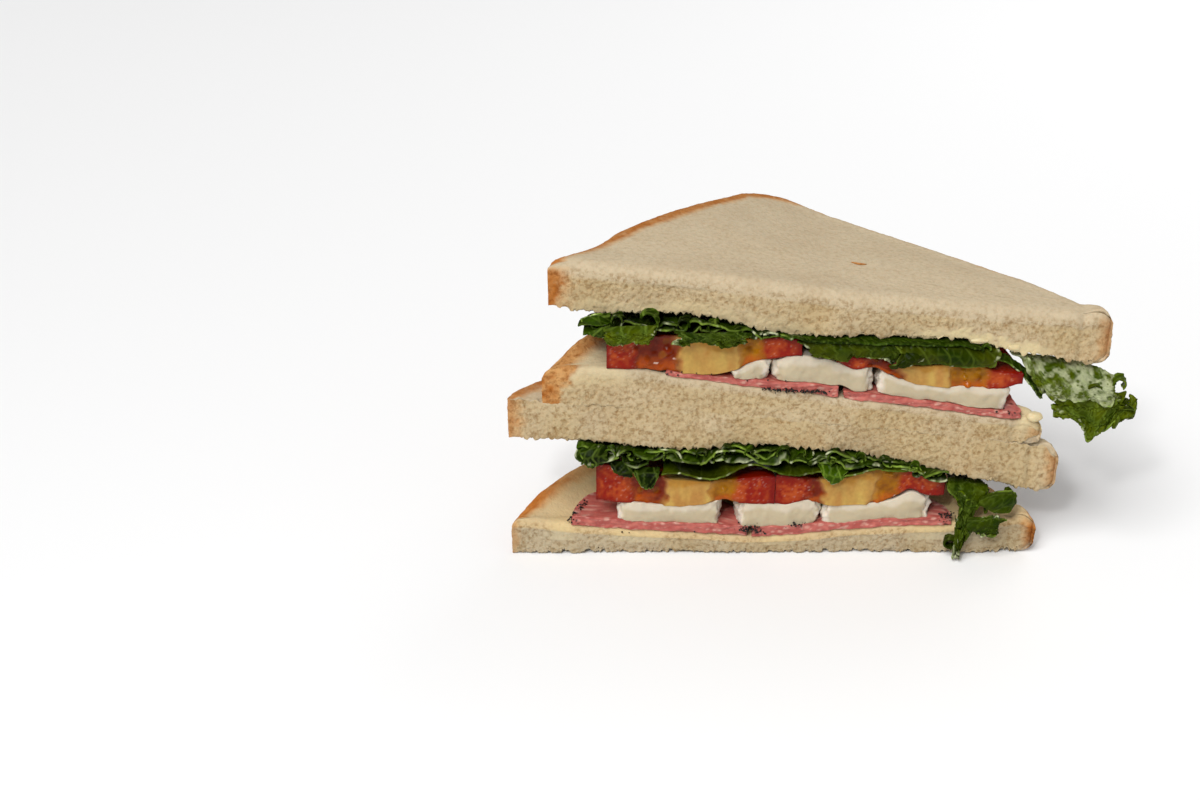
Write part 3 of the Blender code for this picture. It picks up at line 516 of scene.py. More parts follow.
# A white for the rind, also used for painted light on the cheese's upper part.
CHEESE_RIND_AND_TOP_LIGHT = srgb(212, 201, 184)
TOMATO_SKIN = srgb(112, 6, 2)
TOMATO_WALL = srgb(132, 20, 1)
TOMATO_STREAK = srgb(182, 82, 30)
TOMATO_GEL = srgb(112, 30, 2)
TOMATO_SEEDS = srgb(160, 104, 8)
TOMATO_GLOW = srgb(176, 78, 12)
# A pale colour for painted highlights on the tomato.
TOMATO_PAINTED_SHINE = srgb(232, 208, 192)
TOMATO_CORE = srgb(172, 124, 62)
TOMATO_CORE_PALE = srgb(186, 152, 78)
LEAF_DARK = srgb(8, 16, 0)
LEAF_GREEN = srgb(38, 58, 0)
LEAF_PALE = srgb(66, 73, 0)
LEAF_RIM = srgb(116, 138, 52)
LEAF_SMEAR = srgb(196, 200, 162)


class Graph:
    """The nodes of one material."""

    def __init__(self, tree):
        self.nodes = tree.nodes
        self.links = tree.links

    def feed(self, node, inputs):
        """Gives each named input a value, or links it to another node's output."""
        for name, value in inputs.items():
            if isinstance(value, bpy.types.NodeSocket):
                self.links.new(value, node.inputs[name])
            else:
                node.inputs[name].default_value = value

    def add(self, kind, output, inputs=(), **settings):
        """Adds a node of some kind and gives back one of its outputs."""
        node = self.nodes.new(f"ShaderNode{kind}")
        for name, value in settings.items():
            setattr(node, name, value)
        self.feed(node, dict(inputs))
        return node.outputs[output]

    def mapped(self, value, low, high, from_low=0.0, from_high=1.0):
        """Turns a value between from_low and from_high into one between low and high."""
        return self.add("MapRange", "Result", {"Value": value, "From Min": from_low, "From Max": from_high,
                                               "To Min": low, "To Max": high})

    def speckle(self, place, scale, detail, **more):
        """Noise with features about 1 / scale metres wide; a keyword sets the input of that name."""
        inputs = {"Vector": place, "Scale": scale, "Detail": detail}
        inputs.update({name.capitalize(): value for name, value in more.items()})
        return self.add("TexNoise", "Fac", inputs)

    def bumped(self, height, strength, distance, before):
        """A bump of distance mm over the one before it."""
        inputs = {"Height": height, "Strength": strength, "Distance": distance * MM}
        if before:
            inputs["Normal"] = before
        return self.add("Bump", "Normal", inputs)

    def multiplied(self, colour, factor, amount=1.0):
        """A colour multiplied by another one, or by a grey value, to some amount."""
        return self.add("Mix", "Result", {"Factor": amount, "A": colour, "B": factor}, data_type="RGBA",
                        blend_type="MULTIPLY")


# The bread's dryness also says how much painted shade darkens its pores: from this share of that shade at
# the first value to all of it at 1.
FAINT_PORES_DRYNESS = 0.75
FAINT_PORES_SHARE = 0.04
# The noise values at which a pore is at its deepest and at its border.
PORE_RANGE = (0.32, 0.54)
PORE_BUMP_STRENGTH = 0.35
FINE_SPECKLE_SCALE = 900.0


def new_material(name, shiny, dull, bumps, subsurface=0.0, coat=0.0, tint=0.06, pores=None, specular=0.3):
    """A material that takes colour and dryness from the mesh, varied and bumped by fine noise.

    shiny and dull are how rough it is where it is wet and where it is dry. bumps is a list of (size in mm,
    strength, height in mm), and pores a size, depth, and how dark the painted shade in the pores is.
    """
    material = bpy.data.materials.new(name)
    material.use_nodes = True
    graph = Graph(material.node_tree)
    place = graph.add("TexCoord", "Object")
    tone = graph.add("Attribute", "Color", attribute_name="Tone")
    dryness = graph.add("Attribute", "Alpha", attribute_name="Tone")
    normal = None
    if pores:
        size, depth, pore_shade_strength = pores
        cells = graph.speckle(place, 1.0 / (size * MM), 3.0, roughness=0.65, distortion=0.1)
        height = graph.mapped(cells, 0.0, 1.0, *PORE_RANGE)
        faint = FAINT_PORES_SHARE * pore_shade_strength
        strength = graph.mapped(dryness, faint, pore_shade_strength, FAINT_PORES_DRYNESS, 1.0)
        depth_here = graph.mapped(height, 1.0, 0.0)
        # Painted shade: the pores are darkened by multiplying the colour with the pore tint, besides their
        # bump.
        dark = graph.add("Math", "Value", {0: depth_here, 1: strength}, operation="MULTIPLY")
        tone = graph.multiplied(tone, (*PORE_SHADE_TINT, 1.0), dark)
        normal = graph.bumped(height, PORE_BUMP_STRENGTH, depth, normal)
    for size, strength, height in bumps:
        normal = graph.bumped(graph.speckle(place, 1.0 / (size * MM), 2.0), strength, height, normal)
    shade = graph.mapped(graph.speckle(place, FINE_SPECKLE_SCALE, 3.0), 1.0 - tint, 1.0 + tint, 0.3, 0.7)
    inputs = {
        "Base Color": graph.multiplied(tone, shade), "Roughness": graph.mapped(dryness, shiny, dull),
        "Specular IOR Level": specular, "Coat Weight": coat, "Coat Roughness": 0.08, "Normal": normal,
    }
    if subsurface:
        inputs.update({"Subsurface Weight": subsurface, "Subsurface Radius": (1.0, 0.5, 0.3),
                       "Subsurface Scale": 2 * MM})
    graph.feed(graph.nodes["Principled BSDF"], inputs)
    return material


def make_materials():
    """One material for each kind of food."""
    return {
        "bread": new_material("bread_crumb", 0.45, 0.95, [], 0.08, tint=0.05, pores=(1.3, 0.2, 0.7),
                              specular=0.1),
        "salami": new_material("salami_meat", 0.3, 0.5, [(0.7, 0.5, 0.12)], 0.12, 0.1, 0.1),
        "cheese": new_material("cheese_paste", 0.35, 0.6, [(1.4, 0.3, 0.12)], 0.2, 0.0, 0.02),
        "tomato": new_material("tomato_flesh", 0.08, 0.4, [(1.0, 0.3, 0.1)], 0.05, 0.06, 0.08,
                               specular=0.12),
        "lettuce": new_material("lettuce_leaf", 0.22, 0.45, [(0.9, 0.5, 0.16)], tint=0.16, specular=0.04),
    }


def add_piece(name, verts, faces, tone, material, slot, replaced=()):
    """Adds a closed mesh in design millimetres, and hides the imported parts that it replaces.

    tone holds each vertex's colour and its dryness, from 0 where it is wet to 1.
    """
    mesh = bpy.data.meshes.new(name)
    mesh.from_pydata((verts * MM + ORIGIN).tolist(), [], faces)
    mesh.update()
    mesh.shade_smooth()
    layer = mesh.color_attributes.new("Tone", "FLOAT_COLOR", "POINT")
    layer.data.foreach_set("color", tone.ravel())
    mesh.materials.append(material)
    piece = bpy.data.objects.new(name, mesh)
    bpy.context.scene.collection.objects.link(piece)
    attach(piece, "root")
    if replaced:
        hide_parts(*replaced)
    return piece


def with_dryness(tone, dryness):
    """Colours with the dryness of each point added."""
    return np.concatenate([tone, np.broadcast_to(dryness, tone.shape[:-1])[..., None]], -1)


def plain(colour, dryness, verts):
    """One colour and dryness for every vertex."""
    return np.tile([*colour, dryness], (len(verts), 1))


def rounding(inside, radius):
    """How far a rounded border falls at a distance inside its edge."""
    short = np.clip(radius - inside, 0.0, radius)
    return radius - np.sqrt(radius ** 2 - short ** 2)


class Shell:
    """A closed solid over a convex outline between two heights, as rings of points that can be moved.

    Its rings run from the middle of the underside, out, up the side, and in to the middle of the top.
    rise is 0 at the foot of the side and 1 at its head, side is 1 on the side and 0 on the two faces, and
    inside is how far each point starts from the outline, in mm.
    """

    def __init__(self, outline, low, high, edge, rings, side_rings, edge_high=None):
        self.count = len(outline)
        centre = outline.mean(0)
        ahead = np.roll(outline, -1, 0) - np.roll(outline, 1, 0)
        inward = np.column_stack([-ahead[:, 1], ahead[:, 0]]) / np.hypot(*ahead.T)[:, None]
        self.outward = -inward
        corner = np.linspace(0, math.pi / 2, 6)
        levels = [(s, 1.0, 0.0, 0.0, 0.0) for s in rings]
        levels += [(1.0, 1 - math.sin(a), 0.0, 1 - math.cos(a), math.sin(a)) for a in corner]
        levels += [(1.0, 0.0, t, 1 - 2 * t, 1.0) for t in np.linspace(0, 1, side_rings + 2)[1:-1]]
        levels += [(1.0, 1 - math.sin(a), 1.0, math.cos(a) - 1, math.sin(a)) for a in corner[::-1]]
        levels += [(s, 1.0, 1.0, 0.0, 0.0) for s in rings[::-1]]
        scale, inset, self.rise, lift, self.side = np.array(levels).T
        edge_high = edge if edge_high is None else edge_high
        edges = np.where(self.rise[:, None] < 0.5, edge, edge_high) + np.zeros(self.count)
        plan = outline + inward * (edges * inset[:, None])[..., None]
        plan = centre + (plan - centre) * scale[:, None, None]
        self.inside = ((plan - outline) * inward).sum(-1)
        z_low, z_high = low(plan[..., 0], plan[..., 1]), high(plan[..., 0], plan[..., 1])
        room = np.minimum(edges, (z_high - z_low) * 0.4)
        z = z_low + (z_high - z_low) * self.rise[:, None] + room * lift[:, None]
        self.grid = np.concatenate([plan, z[..., None]], -1)
        self.grip = 1 - smooth((self.inside - edges) / 3.0)
        self.poles = np.array([[*centre, low(*centre)], [*centre, high(*centre)]])

    def droop(self, head, foot):
        """Rounds the two borders to the radii head and foot, one value for each point of the outline."""
        for radius, part in ((head, self.rise), (foot, self.rise - 1.0)):
            self.grid[..., 2] -= rounding(self.inside, radius) * (part * np.abs(part))[:, None]

    def push(self, amount):
        """Moves the side outward by amount mm, one value a point, and the faces' borders with it."""
        self.grid[..., :2] += self.outward * (amount * self.grip)[..., None]

    def lift(self, amount):
        """Raises every point by amount mm."""
        self.grid[..., 2] += amount

    def mesh(self, tone):
        """Vertices, faces and tones, with tone given for each point of the rings."""
        rings, count = self.grid.shape[:2]
        verts = np.vstack([self.poles[:1], self.grid.reshape(-1, 3), self.poles[1:]])
        start = 1 + np.arange(rings)[:, None] * count
        here = start + np.arange(count)
        after = start + (np.arange(count) + 1) % count
        quads = np.stack([here[:-1], after[:-1], after[1:], here[1:]], -1).reshape(-1, 4)
        bottom = np.column_stack([np.zeros(count, int), after[0], here[0]])
        top = np.column_stack([here[-1], after[-1], np.full(count, len(verts) - 1)])
        faces = quads.tolist() + bottom.tolist() + top.tolist()
        tones = np.vstack([tone[0].mean(0), tone.reshape(-1, tone.shape[-1]), tone[-1].mean(0)])
        return verts, faces, tones


def crumb(points, seed):
    """How open the crumb is at each point: 0 on its walls and 1 deep in a pore."""
    drift = np.stack([noise(points / 5.0, seed + k) for k in range(3)], -1)
    bent = points + 0.8 * drift
    large = holes(bent / [5.0, 5.0, 6.5], seed, 0.08, 0.42)
    middle = holes(bent / [1.6, 1.6, 2.0], seed + 10, 0.15, 0.62)
    small = holes(bent / [0.85, 0.85, 1.0], seed + 20, 0.2, 0.7)
    worm = np.clip(0.35 - np.abs(noise(bent / [1.3, 1.3, 2.8], seed + 30)), 0, 1) * 1.6
    return np.clip(0.6 * large + 0.7 * middle + 0.9 * small + 0.3 * worm, 0, 1.5)


# The steps along the crust and along the cut, and the rounding of the crust's borders, in mm.
CRUST_STEP, CUT_STEP = 0.7, 0.34
CRUST_EDGE = 1.2
# How far the cut rolls in towards the tip at its right end.
TIP_ROLL = 3.2
# The rings of a slice's two faces, as shares of the way out from its middle, and how many its side has.
FACE_RINGS = np.concatenate([np.linspace(0.04, 0.9, 14), [0.93, 0.95, 0.965, 0.98, 0.99]])
SIDE_RINGS = 34


def from_left_crust(x, y, left):
    """How far a point lies inside the straight crust at a slice's left, in mm."""
    angle = math.radians(CUT_ANGLE_LEFT)
    return (x - left) * math.sin(angle) - y * math.cos(angle)


def soft_bend(shell, left, soft):
    """How far a slice's upper face bends down towards its cut, and at the crust of its left corner."""
    x, y = shell.grid[..., 0], shell.grid[..., 1]
    from_crust = np.maximum(from_left_crust(x, y, left), 0.0)
    at_heel = rounding(from_crust, 2.5 * smooth((left + 22.0 - x) / 14.0) + 0.01)
    return np.maximum(rounding(np.maximum(y, 0.0), soft), at_heel) * shell.rise[:, None] ** 2


class HalfSlice:
    """One half slice: a torn, porous cut, a browned crust round the loaf's sides and fine crumb faces."""

    def __init__(self, place, low, high, seed, edges, soft):
        left, cut_length = place
        self.seed = seed
        outline = slice_outline(left, cut_length, CRUST_STEP, CUT_STEP)
        self.is_cut = np.arange(len(outline)) < round(cut_length / CUT_STEP) - 1
        corners = np.array([(left, 0.0), (left + cut_length, 0.0)])
        largest = 0.2 + 0.3 * np.hypot(*(outline[:, None] - corners).T).min(0)
        foot, head = (np.minimum(np.where(self.is_cut, edge, CRUST_EDGE), largest) for edge in edges)
        self.shell = Shell(outline, low, high, foot, FACE_RINGS, SIDE_RINGS, head)
        tip = smooth((outline[:, 0] - left - cut_length) / np.where(self.is_cut, 7.0, 24.0) + 1)
        self.shell.droop(4.5 * tip, 4.0 * tip)
        if soft:
            self.shell.lift(-soft_bend(self.shell, left, soft) * (1 - tip))
        self.grid = self.shell.grid.copy()
        self.x, self.y, self.z = np.moveaxis(self.grid, -1, 0)
        self.rise = self.shell.rise[:, None] + 0.0 * self.x
        self.side = self.shell.side[:, None]
        self.from_left, self.from_right = self.x - left, left + cut_length - self.x
        self.leftness = smooth((0.52 * cut_length - self.from_left) / 14.0)
        nearer_end = np.minimum(self.from_left, self.from_right)
        self.ends = nearer_end + 1.5 * self.waves(2.0, 5) + 0.7 * self.waves(0.8, 6)
        self.open_crumb = crumb(self.grid, 100)
        self.below_head = smooth((1.1 - self.rise) / 0.35) if edges[1] > 0.1 else 1.0
        self.crumb_here = smooth(self.ends / 3.0) * self.is_cut * self.below_head

    def waves(self, width, number):
        """Smooth noise from -1 to 1 with features width mm wide, another for each number."""
        return noise(self.grid / width, self.seed + number)

    def grain(self, width, number, octaves=3):
        """Rough noise from about -1 to 1 with features width mm wide, another for each number."""
        return rough(self.grid / width, self.seed + number, octaves)

    def carve_sides(self):
        """Presses the pores and slow waves into the cut, and roughens the crust."""
        relief = -0.34 * self.open_crumb + 0.1 * rough(self.grid / 1.6, 101)
        relief = relief + 0.6 * noise(self.grid / 12.0, 102) - 0.1
        relief = relief * (0.3 + 0.7 * self.crumb_here) - rounding(self.from_right, TIP_ROLL) * 0.9
        relief -= 0.7 * bump(self.from_right, 8.0, 1.4)
        crust = 0.25 * self.grain(1.2, 3, 4) + 0.35 * self.waves(7.0, 4)
        self.shell.push(np.where(self.is_cut, relief, crust))

    def carve_faces(self, torn):
        """Tears the foot of the cut by up to torn mm, and roughens the two faces and their borders."""
        x, y, rise, flatness = self.x, self.y, self.rise, 1 - self.side
        tear = np.clip(np.abs(rough(flat(x / 1.5, self.z / 1.5), self.seed + 6)) * 1.6 - 0.2, -0.2, 1.2)
        at_foot = (1 - smooth(rise / 0.14)) * smooth(1.0 - y / 3.0) * smooth(self.ends / 6.0)
        self.shell.lift(torn * tear * at_foot)
        fleece = 0.12 * rough(flat(x / 1.6, y / 1.6), self.seed + 7)
        fleece = fleece + 0.28 * noise(flat(x / 13, y / 13), self.seed + 8)
        lips = 0.35 * bump(self.shell.inside, 2.6, 1.6) * ~self.is_cut
        self.shell.lift(np.where(rise > 0.5, flatness * fleece + lips, -flatness * fleece))
        knob = 0.9 * bump(self.from_right, 3.5, 2.4) - 0.9 * bump(self.from_right, 8.5, 1.6)
        self.shell.lift(knob * smooth(rise * 1.5) * smooth(1.2 - y / 9.0) * (self.from_right < 14))

    def browned(self, left, right, reach):
        """How browned each point is: the crust, the line round the faces and the ends of the cut."""
        strength = right + (left - right) * self.leftness
        ragged = 0.7 * self.grain(1.6, 11) + 0.5 * self.waves(5.0, 13)
        rim_start = self.shell.inside + 1.2 * ragged - 1.4 - 1.8 * self.leftness
        rim = 1 - smooth(rim_start / (0.8 + 2.4 * self.leftness))
        round_crust = np.maximum(rim, self.side) * ~self.is_cut
        at_left = 1 - smooth((self.from_left + (0.6 + 0.35 * reach) * ragged - 0.8) / reach)
        at_left = at_left * left * min(1.0, 0.4 + 0.1 * reach)
        at_right = 1 - smooth((self.from_right + 1.8 * ragged - 1.4) / 4.2)
        ends = np.maximum(at_left, at_right * (0.4 + 0.6 * right)) * self.is_cut * self.side
        return np.clip(np.maximum(round_crust * strength * (1.05 + 0.3 * ragged), ends), 0, 1)

    def tones(self, brown):
        """The crumb's colours, with random darker mottle and painted shade in its pores, and the browned
        parts over them.
        """
        on_cut = self.is_cut * self.side * self.below_head
        pale = mix(CRUMB_PALE, CRUMB_CUT, on_cut * (0.8 + 0.4 * self.waves(9.0, 14)))
        # Painted shade in the pores, towards the darker colour, besides a random mottle.
        depth = 0.03 + 0.1 * self.grain(8.0, 9) + 0.4 * self.open_crumb * self.crumb_here
        browned = self.browned(*brown)
        toast = mix(CRUST_TAN, CRUST_BROWN, browned * 1.3 - 0.45 + 0.35 * self.grain(2.0, 12))
        # This dryness also sets how much painted shade the shader puts in the pores, most on the cut.
        pores_here = np.maximum(self.side * self.is_cut, 0.3)
        dryness = FAINT_PORES_DRYNESS + (1 - FAINT_PORES_DRYNESS) * pores_here
        return with_dryness(mix(mix(pale, CRUMB_MOTTLE_AND_PORE_SHADE, depth), toast, browned), dryness)


def bread_piece(materials, name, place, low, high, seed, torn, paint=None, edges=(0.6, 0.6),
                brown=(1.0, 0.4, 6.0), soft=0.0):
    """Adds one half slice, whose place is the left end and the length of its cut.

    torn is how many mm its lower edge is torn up, and edges are the roundings of the cut at foot and head.
    brown is how dark its crust is on the left and on the right, and how far it reaches into the cut on the
    left. soft is how far the upper face bends down towards the cut.
    """
    half = HalfSlice(place, low, high, seed, edges, soft)
    half.carve_sides()
    half.carve_faces(torn)
    if low(0.0, 0.0) == 0.0:
        half.shell.grid[..., 2] = np.maximum(half.shell.grid[..., 2], 0.0)
    tone = half.tones(brown)
    if paint:
        tone = paint(tone, half.x, half.y, half.z, half.rise)
    add_piece(name, *half.shell.mesh(tone), materials["bread"], "bread", [name])


def patches(x, z, seed):
    """Blotches a few mm wide in a plane, from -1 to 1."""
    return 0.6 * noise(flat(x / 3.0, z / 2.0), seed) + 0.4 * noise(flat(x / 1.1, z / 1.1), seed + 1)


def paint_top_slice(tone, x, y, z, rise):
    """Spread along the lower front edge of the top slice."""
    on_right = smooth((x - 34) / 8) * smooth((80 - x) / 10)
    on_left = 0.4 * smooth((x + 62) / 8) * smooth((20 - x) / 20)
    amount = (on_right + on_left) * (1 - smooth(rise * 4.0 - 0.4 + patches(x, z, 91))) * (y < 3)
    return mix(tone, np.array([*SPREAD, 0.3]), amount)


def paint_third_slice(tone, x, y, z, rise):
    """The brown crust that shows at the third slice's left end, and the spread at its two top corners."""
    wedge = -59.5 + 0.7 * (z - 60.0) + 3.4 * patches(x, z, 93)
    from_crust = from_left_crust(x, y, BREAD_3_LEFT)
    on_top = smooth((6.0 + 2.5 * patches(x, y, 99) - from_crust) / 2.0) * smooth((24 - y) / 8)
    crust = np.maximum(smooth((wedge - x) / 5.0 + 0.4) * (y < 2), on_top)
    brown = mix(CRUST_TAN, CRUST_BROWN, 0.45 + patches(x, z, 95))
    tone = mix(tone, with_dryness(brown, 1.0), crust)
    patch = 0.5 * smooth((x + 63) / 4) * smooth((-40 - x) / 8) + 0.8 * smooth((x - 68) / 4)
    amount = patch * smooth(rise * 2.0 - 0.85 + 0.5 * patches(x, z, 97)) * smooth(2.0 - y / 8.0)
    return mix(tone, np.array([*SPREAD, 0.3]), amount * (1 - crust))


# How much red, green, blue and dryness the bottom slice keeps: its cut is painted darker and cooler as
# shade, and its top painted warmer as light.
BREAD_1_CUT_SHADE = np.array([0.88, 0.92, 1.0, 1.0])
BREAD_1_TOP_WARM_LIGHT = np.array([1.1, 1.03, 0.87, 1.0])


def paint_bottom_slice(tone, x, y, z, rise):
    """Spread on the bottom slice's top, round the salami, and painted shade and light on its cut and top."""
    amount = (rise > 0.5) * smooth(0.3 + 0.9 * noise(flat(x / 9.0, y / 9.0), 98)) * 0.5
    tone = mix(tone, np.array([*SPREAD, 0.5]), amount * smooth((70 - np.abs(x)) / 6))
    # Painted shade on the cut, darker and cooler, and painted warm light on the top.
    return tone * mix(BREAD_1_CUT_SHADE, BREAD_1_TOP_WARM_LIGHT, smooth((rise - 0.85) / 0.15))


def make_breads(materials):
    """The four half slices; the two middle ones meet in one ragged seam."""
    middle = MIDDLE.over(SEAM)

    def seam(x, y):
        return middle(x, y) + 0.7 * rough(flat(x / 1.5, y / 1.5), 90) * (1 - smooth(y / 5.0))

    bread_piece(materials, "bread_1_bottom", (BREAD_1_LEFT, SLICE_CUT_LENGTH), lambda x, y: 0.0 * x,
                LOW_BED.over(BREAD_1_TOP), 100, 1.7, paint_bottom_slice, brown=(1.0, 0.95, 2.2), soft=1.8)
    bread_piece(materials, "bread_2", (BREAD_2_LEFT, BREAD_2_CUT), LOW_ROOF.over(BREAD_2_BOTTOM),
                seam, 200, -1.3, edges=(0.6, 0.05), brown=(0.85, 0.45, 5.0))
    bread_piece(materials, "bread_3", (BREAD_3_LEFT, BREAD_3_CUT), seam,
                UP_BED.over(BREAD_3_TOP), 300, 0.0, paint_third_slice, (0.05, 0.6), (1.0, 0.2, 6.0), 1.4)
    bread_piece(materials, "bread_4_top", (BREAD_4_LEFT, BREAD_4_CUT), UP_ROOF.over(BREAD_4_BOTTOM),
                TOP.over(BREAD_4_TOP), 400, -1.3, paint_top_slice, brown=(1.0, 0.5, 7.0), soft=3.5)


FILLING_RINGS = np.concatenate([np.linspace(0.08, 0.9, 9), [0.95, 0.98]])


def filling_piece(name, slot, materials, outline, low, high, edge, relief, paint, side_rings=14, wavy=0.35):
    """Adds one slice of filling, with its relief and its colours worked out from each point's place.

    edge is the rounding of its borders and wavy how far its faces stray up and down, in mm.
    """
    shell = Shell(outline, low, high, edge, FILLING_RINGS, side_rings)
    points = shell.grid.copy()
    rise = shell.rise[:, None] + 0.0 * points[..., 0]
    side = shell.side[:, None] + 0.0 * rise
    shell.push(relief(points, rise))
    strays = 0.7 * noise(points / [3.6, 3.6, 8.0], 21) + 0.3 * noise(points / [1.4, 1.4, 4.0], 22)
    shell.lift(wavy * strays)
    add_piece(name, *shell.mesh(paint(points, rise, side)), materials[slot], slot, [name])


def salami_relief(points, rise):
    """How far the cut edge of salami stands out, in mm."""
    return 0.5 * rough(points / [5.0, 5.0, 1.2], 31) + 0.2 * rough(points / [1.0, 1.0, 0.6], 32)


def salami_painter(x0, x1):
    """The colours of one slice of salami: streaked meat, flecks of fat, and pepper at its two ends."""

    def paint(points, rise, side):
        streaks = rough(points / [2.6, 1.8, 0.9], 33, 4)
        grain = rough(points / 1.1, 36, 2)
        flecks = holes(points / [2.0, 2.0, 1.1], 34, 0.15, 0.6)
        tone = mix(MEAT, MEAT_PALE, 0.45 + 0.7 * streaks + 0.5 * grain)
        tone = mix(tone, MEAT_FAT, np.clip(flecks * 2.0, 0, 0.7))
        from_ends = np.minimum(points[..., 0] - x0, x1 - points[..., 0])
        pepper = holes(points / [0.9, 0.9, 0.7], 35, 0.2, 0.7) > 0.25
        tone = mix(tone, PEPPER, 0.9 * pepper * (from_ends < 2.2))
        return with_dryness(tone, 0.5 + 0.4 * streaks.clip(-1, 1))

    return paint


def make_salami(materials):
    """Two slices at the cut and one behind them in each filling."""
    low_top = LOW_BED.over(SALAMI_LOW_TOP)
    on_bread_1 = LOW_BED.over(BREAD_1_TOP, -0.1, 2 * GAP)
    on_bread_3 = UP_BED.over(BREAD_3_TOP, -0.1, 2 * GAP)
    step = 0.5
    pieces = [
        ("salami_low_left", (-60.5, -7.5), half_disc(-60.5, -7.5, 22, step), on_bread_1, low_top),
        ("salami_low_right", (-6, 54), half_disc(-6, 54, 22, step), on_bread_1, low_top),
        ("salami_low_back", (-30, 18), disc((-6, 41), (24, 15), 1.0), on_bread_1, low_top),
        ("salami_up_back", (-24, 20), disc((-2, 38), (22, 14), 1.0), on_bread_3,
         UP_BED.over(BREAD_3_TOP, SALAMI_BACK_TOP)),
    ]
    for side, (x0, x1, top) in zip(("left", "right"), SALAMI_UP_TOPS):
        pieces.append((f"salami_up_{side}", (x0, x1), half_disc(x0, x1, 20, step), on_bread_3,
                       UP_BED.over(top)))
    for name, ends, outline, low, high in pieces:
        filling_piece(name, "salami", materials, outline, low, high, 0.3, salami_relief,
                      salami_painter(*ends), 8)


# Where ground pepper clings: from one point to another, how widely it strays, and how many flecks.
PEPPER_LINES = [
    ((-61, -0.4, 11.8), (-56, 8.5, 13.4), 0.55, 70), ((-9.6, -0.7, 9), (-2.6, -0.7, 8.6), 0.75, 64),
    ((4, -0.7, 10.4), (9.5, -0.7, 10.8), 0.4, 22), ((50, -0.5, 12.6), (55, 0.6, 13.6), 0.6, 26),
    ((-5, -0.7, 56.6), (14, -0.7, 55.3), 0.28, 120), ((60, -0.6, 49.6), (69, -0.6, 48.6), 0.6, 8),
    ((-30, -0.7, 61.6), (8, -0.7, 58.6), 0.5, 7), ((-52, -0.7, 7.6), (-20, -0.7, 8), 0.5, 3),
]


def make_pepper(materials):
    """Dark flecks of pepper as one joined mesh."""
    rng = np.random.default_rng(7)
    corners = np.array([(1, 0, 0), (-1, 0, 0), (0, 1, 0), (0, -1, 0), (0, 0, 1), (0, 0, -1)], float)
    sides = [(0, 2, 4), (2, 1, 4), (1, 3, 4), (3, 0, 4), (2, 0, 5), (1, 2, 5), (3, 1, 5), (0, 3, 5)]
    verts, faces = [], []
    for start, end, stray, count in PEPPER_LINES:
        for _ in range(count):
            middle = np.array(start) + (np.array(end) - start) * rng.uniform() + rng.normal(0, stray, 3)
            middle[1] = np.maximum(middle[1], start[1] - 0.3)
            size = rng.uniform(0.16, 0.48)
            faces += [tuple(len(verts) * 6 + np.array(side)) for side in sides]
            verts.append(middle + corners * size * rng.uniform(0.6, 1.3, (6, 1)))
    verts = np.vstack(verts)
    faces = [tuple(map(int, face)) for face in faces]
    add_piece("pepper_flecks", verts, faces, plain(PEPPER, 0.6, verts), materials["salami"], "salami")


def cheese_maker(x0, x1):
    """The relief and colours of one soft cheese slice: a torn white rind at both ends, painted light on top.
    """

    def from_ends(points):
        return np.minimum(points[..., 0] - x0, x1 - points[..., 0])

    def relief(points, rise):
        belly = 0.35 * np.sin(np.pi * np.clip(rise, 0, 1))
        near_end = 1 - smooth(from_ends(points) / 4.0)
        ragged = 1.3 * rough(points / [1.6, 1.6, 2.4], 45) * near_end
        return belly - 0.3 + 0.6 * rough(points / 5.0, 41, 3) + 0.12 * rough(points / 1.2, 42, 2) + ragged

    def paint(points, rise, side):
        tone = mix(CHEESE_PASTE, CHEESE_PASTE * 0.92, 0.5 + 0.6 * rough(points / 5.0, 44))
        rind = 1 - smooth((from_ends(points) + 0.9 * noise(points / 1.2, 43) - 0.6) / 1.4)
        # Painted light: the upper part of the slice and its top are lightened, as lit from above.
        tone = mix(tone, CHEESE_RIND_AND_TOP_LIGHT, 0.55 * smooth(4.0 * rise - 2.4 + 0.8 * rough(points / 4.0, 46)))
        return with_dryness(mix(tone, CHEESE_RIND_AND_TOP_LIGHT, np.maximum(rind, 0.6 * (1 - side))), 0.1 + 0.7 * rind)

    return relief, paint


def make_cheese(materials):
    """Three slices at the cut and one behind them in each filling."""
    names = ("left", "middle", "right")
    step = 0.5
    slices = []
    for name, depth, (x0, x1, top) in zip(names, (20.0, 30.0, 17.0), CHEESE_LOW_TOPS):
        slices.append((f"cheese_low_{name}", x0, x1, 0.0, depth, step,
                       LOW_BED.over(SALAMI_LOW_TOP, -0.3), LOW_BED.over(top, 0.3)))
    for name, depth, (x0, x1, bottom, top) in zip(names, (18.0, 30.0, 15.0), CHEESE_UP):
        slices.append((f"cheese_up_{name}", x0, x1, 0.0, depth, step,
                       UP_BED.over(bottom, -0.6), UP_BED.over(top, 0.2)))
    slices.append(("cheese_low_back", -25, 14, 32, 54, 1.2, LOW_BED.over(SALAMI_LOW_TOP, 2 * GAP),
                   LOW_BED.over(SALAMI_LOW_TOP, CHEESE_BACK_TOP)))
    slices.append(("cheese_up_back", -20, 16, 32, 50, 1.2,
                   UP_BED.over(BREAD_3_TOP, SALAMI_BACK_TOP + 2 * GAP),
                   UP_BED.over(BREAD_3_TOP, SALAMI_BACK_TOP + CHEESE_BACK_TOP)))
    for name, x0, x1, y0, y1, fineness, low, high in slices:
        relief, paint = cheese_maker(x0, x1)
        outline = block(x0, x1, y0, y1, fineness, 9.0)
        filling_piece(name, "cheese", materials, outline, low, high, 0.4, relief, paint, wavy=0.65)


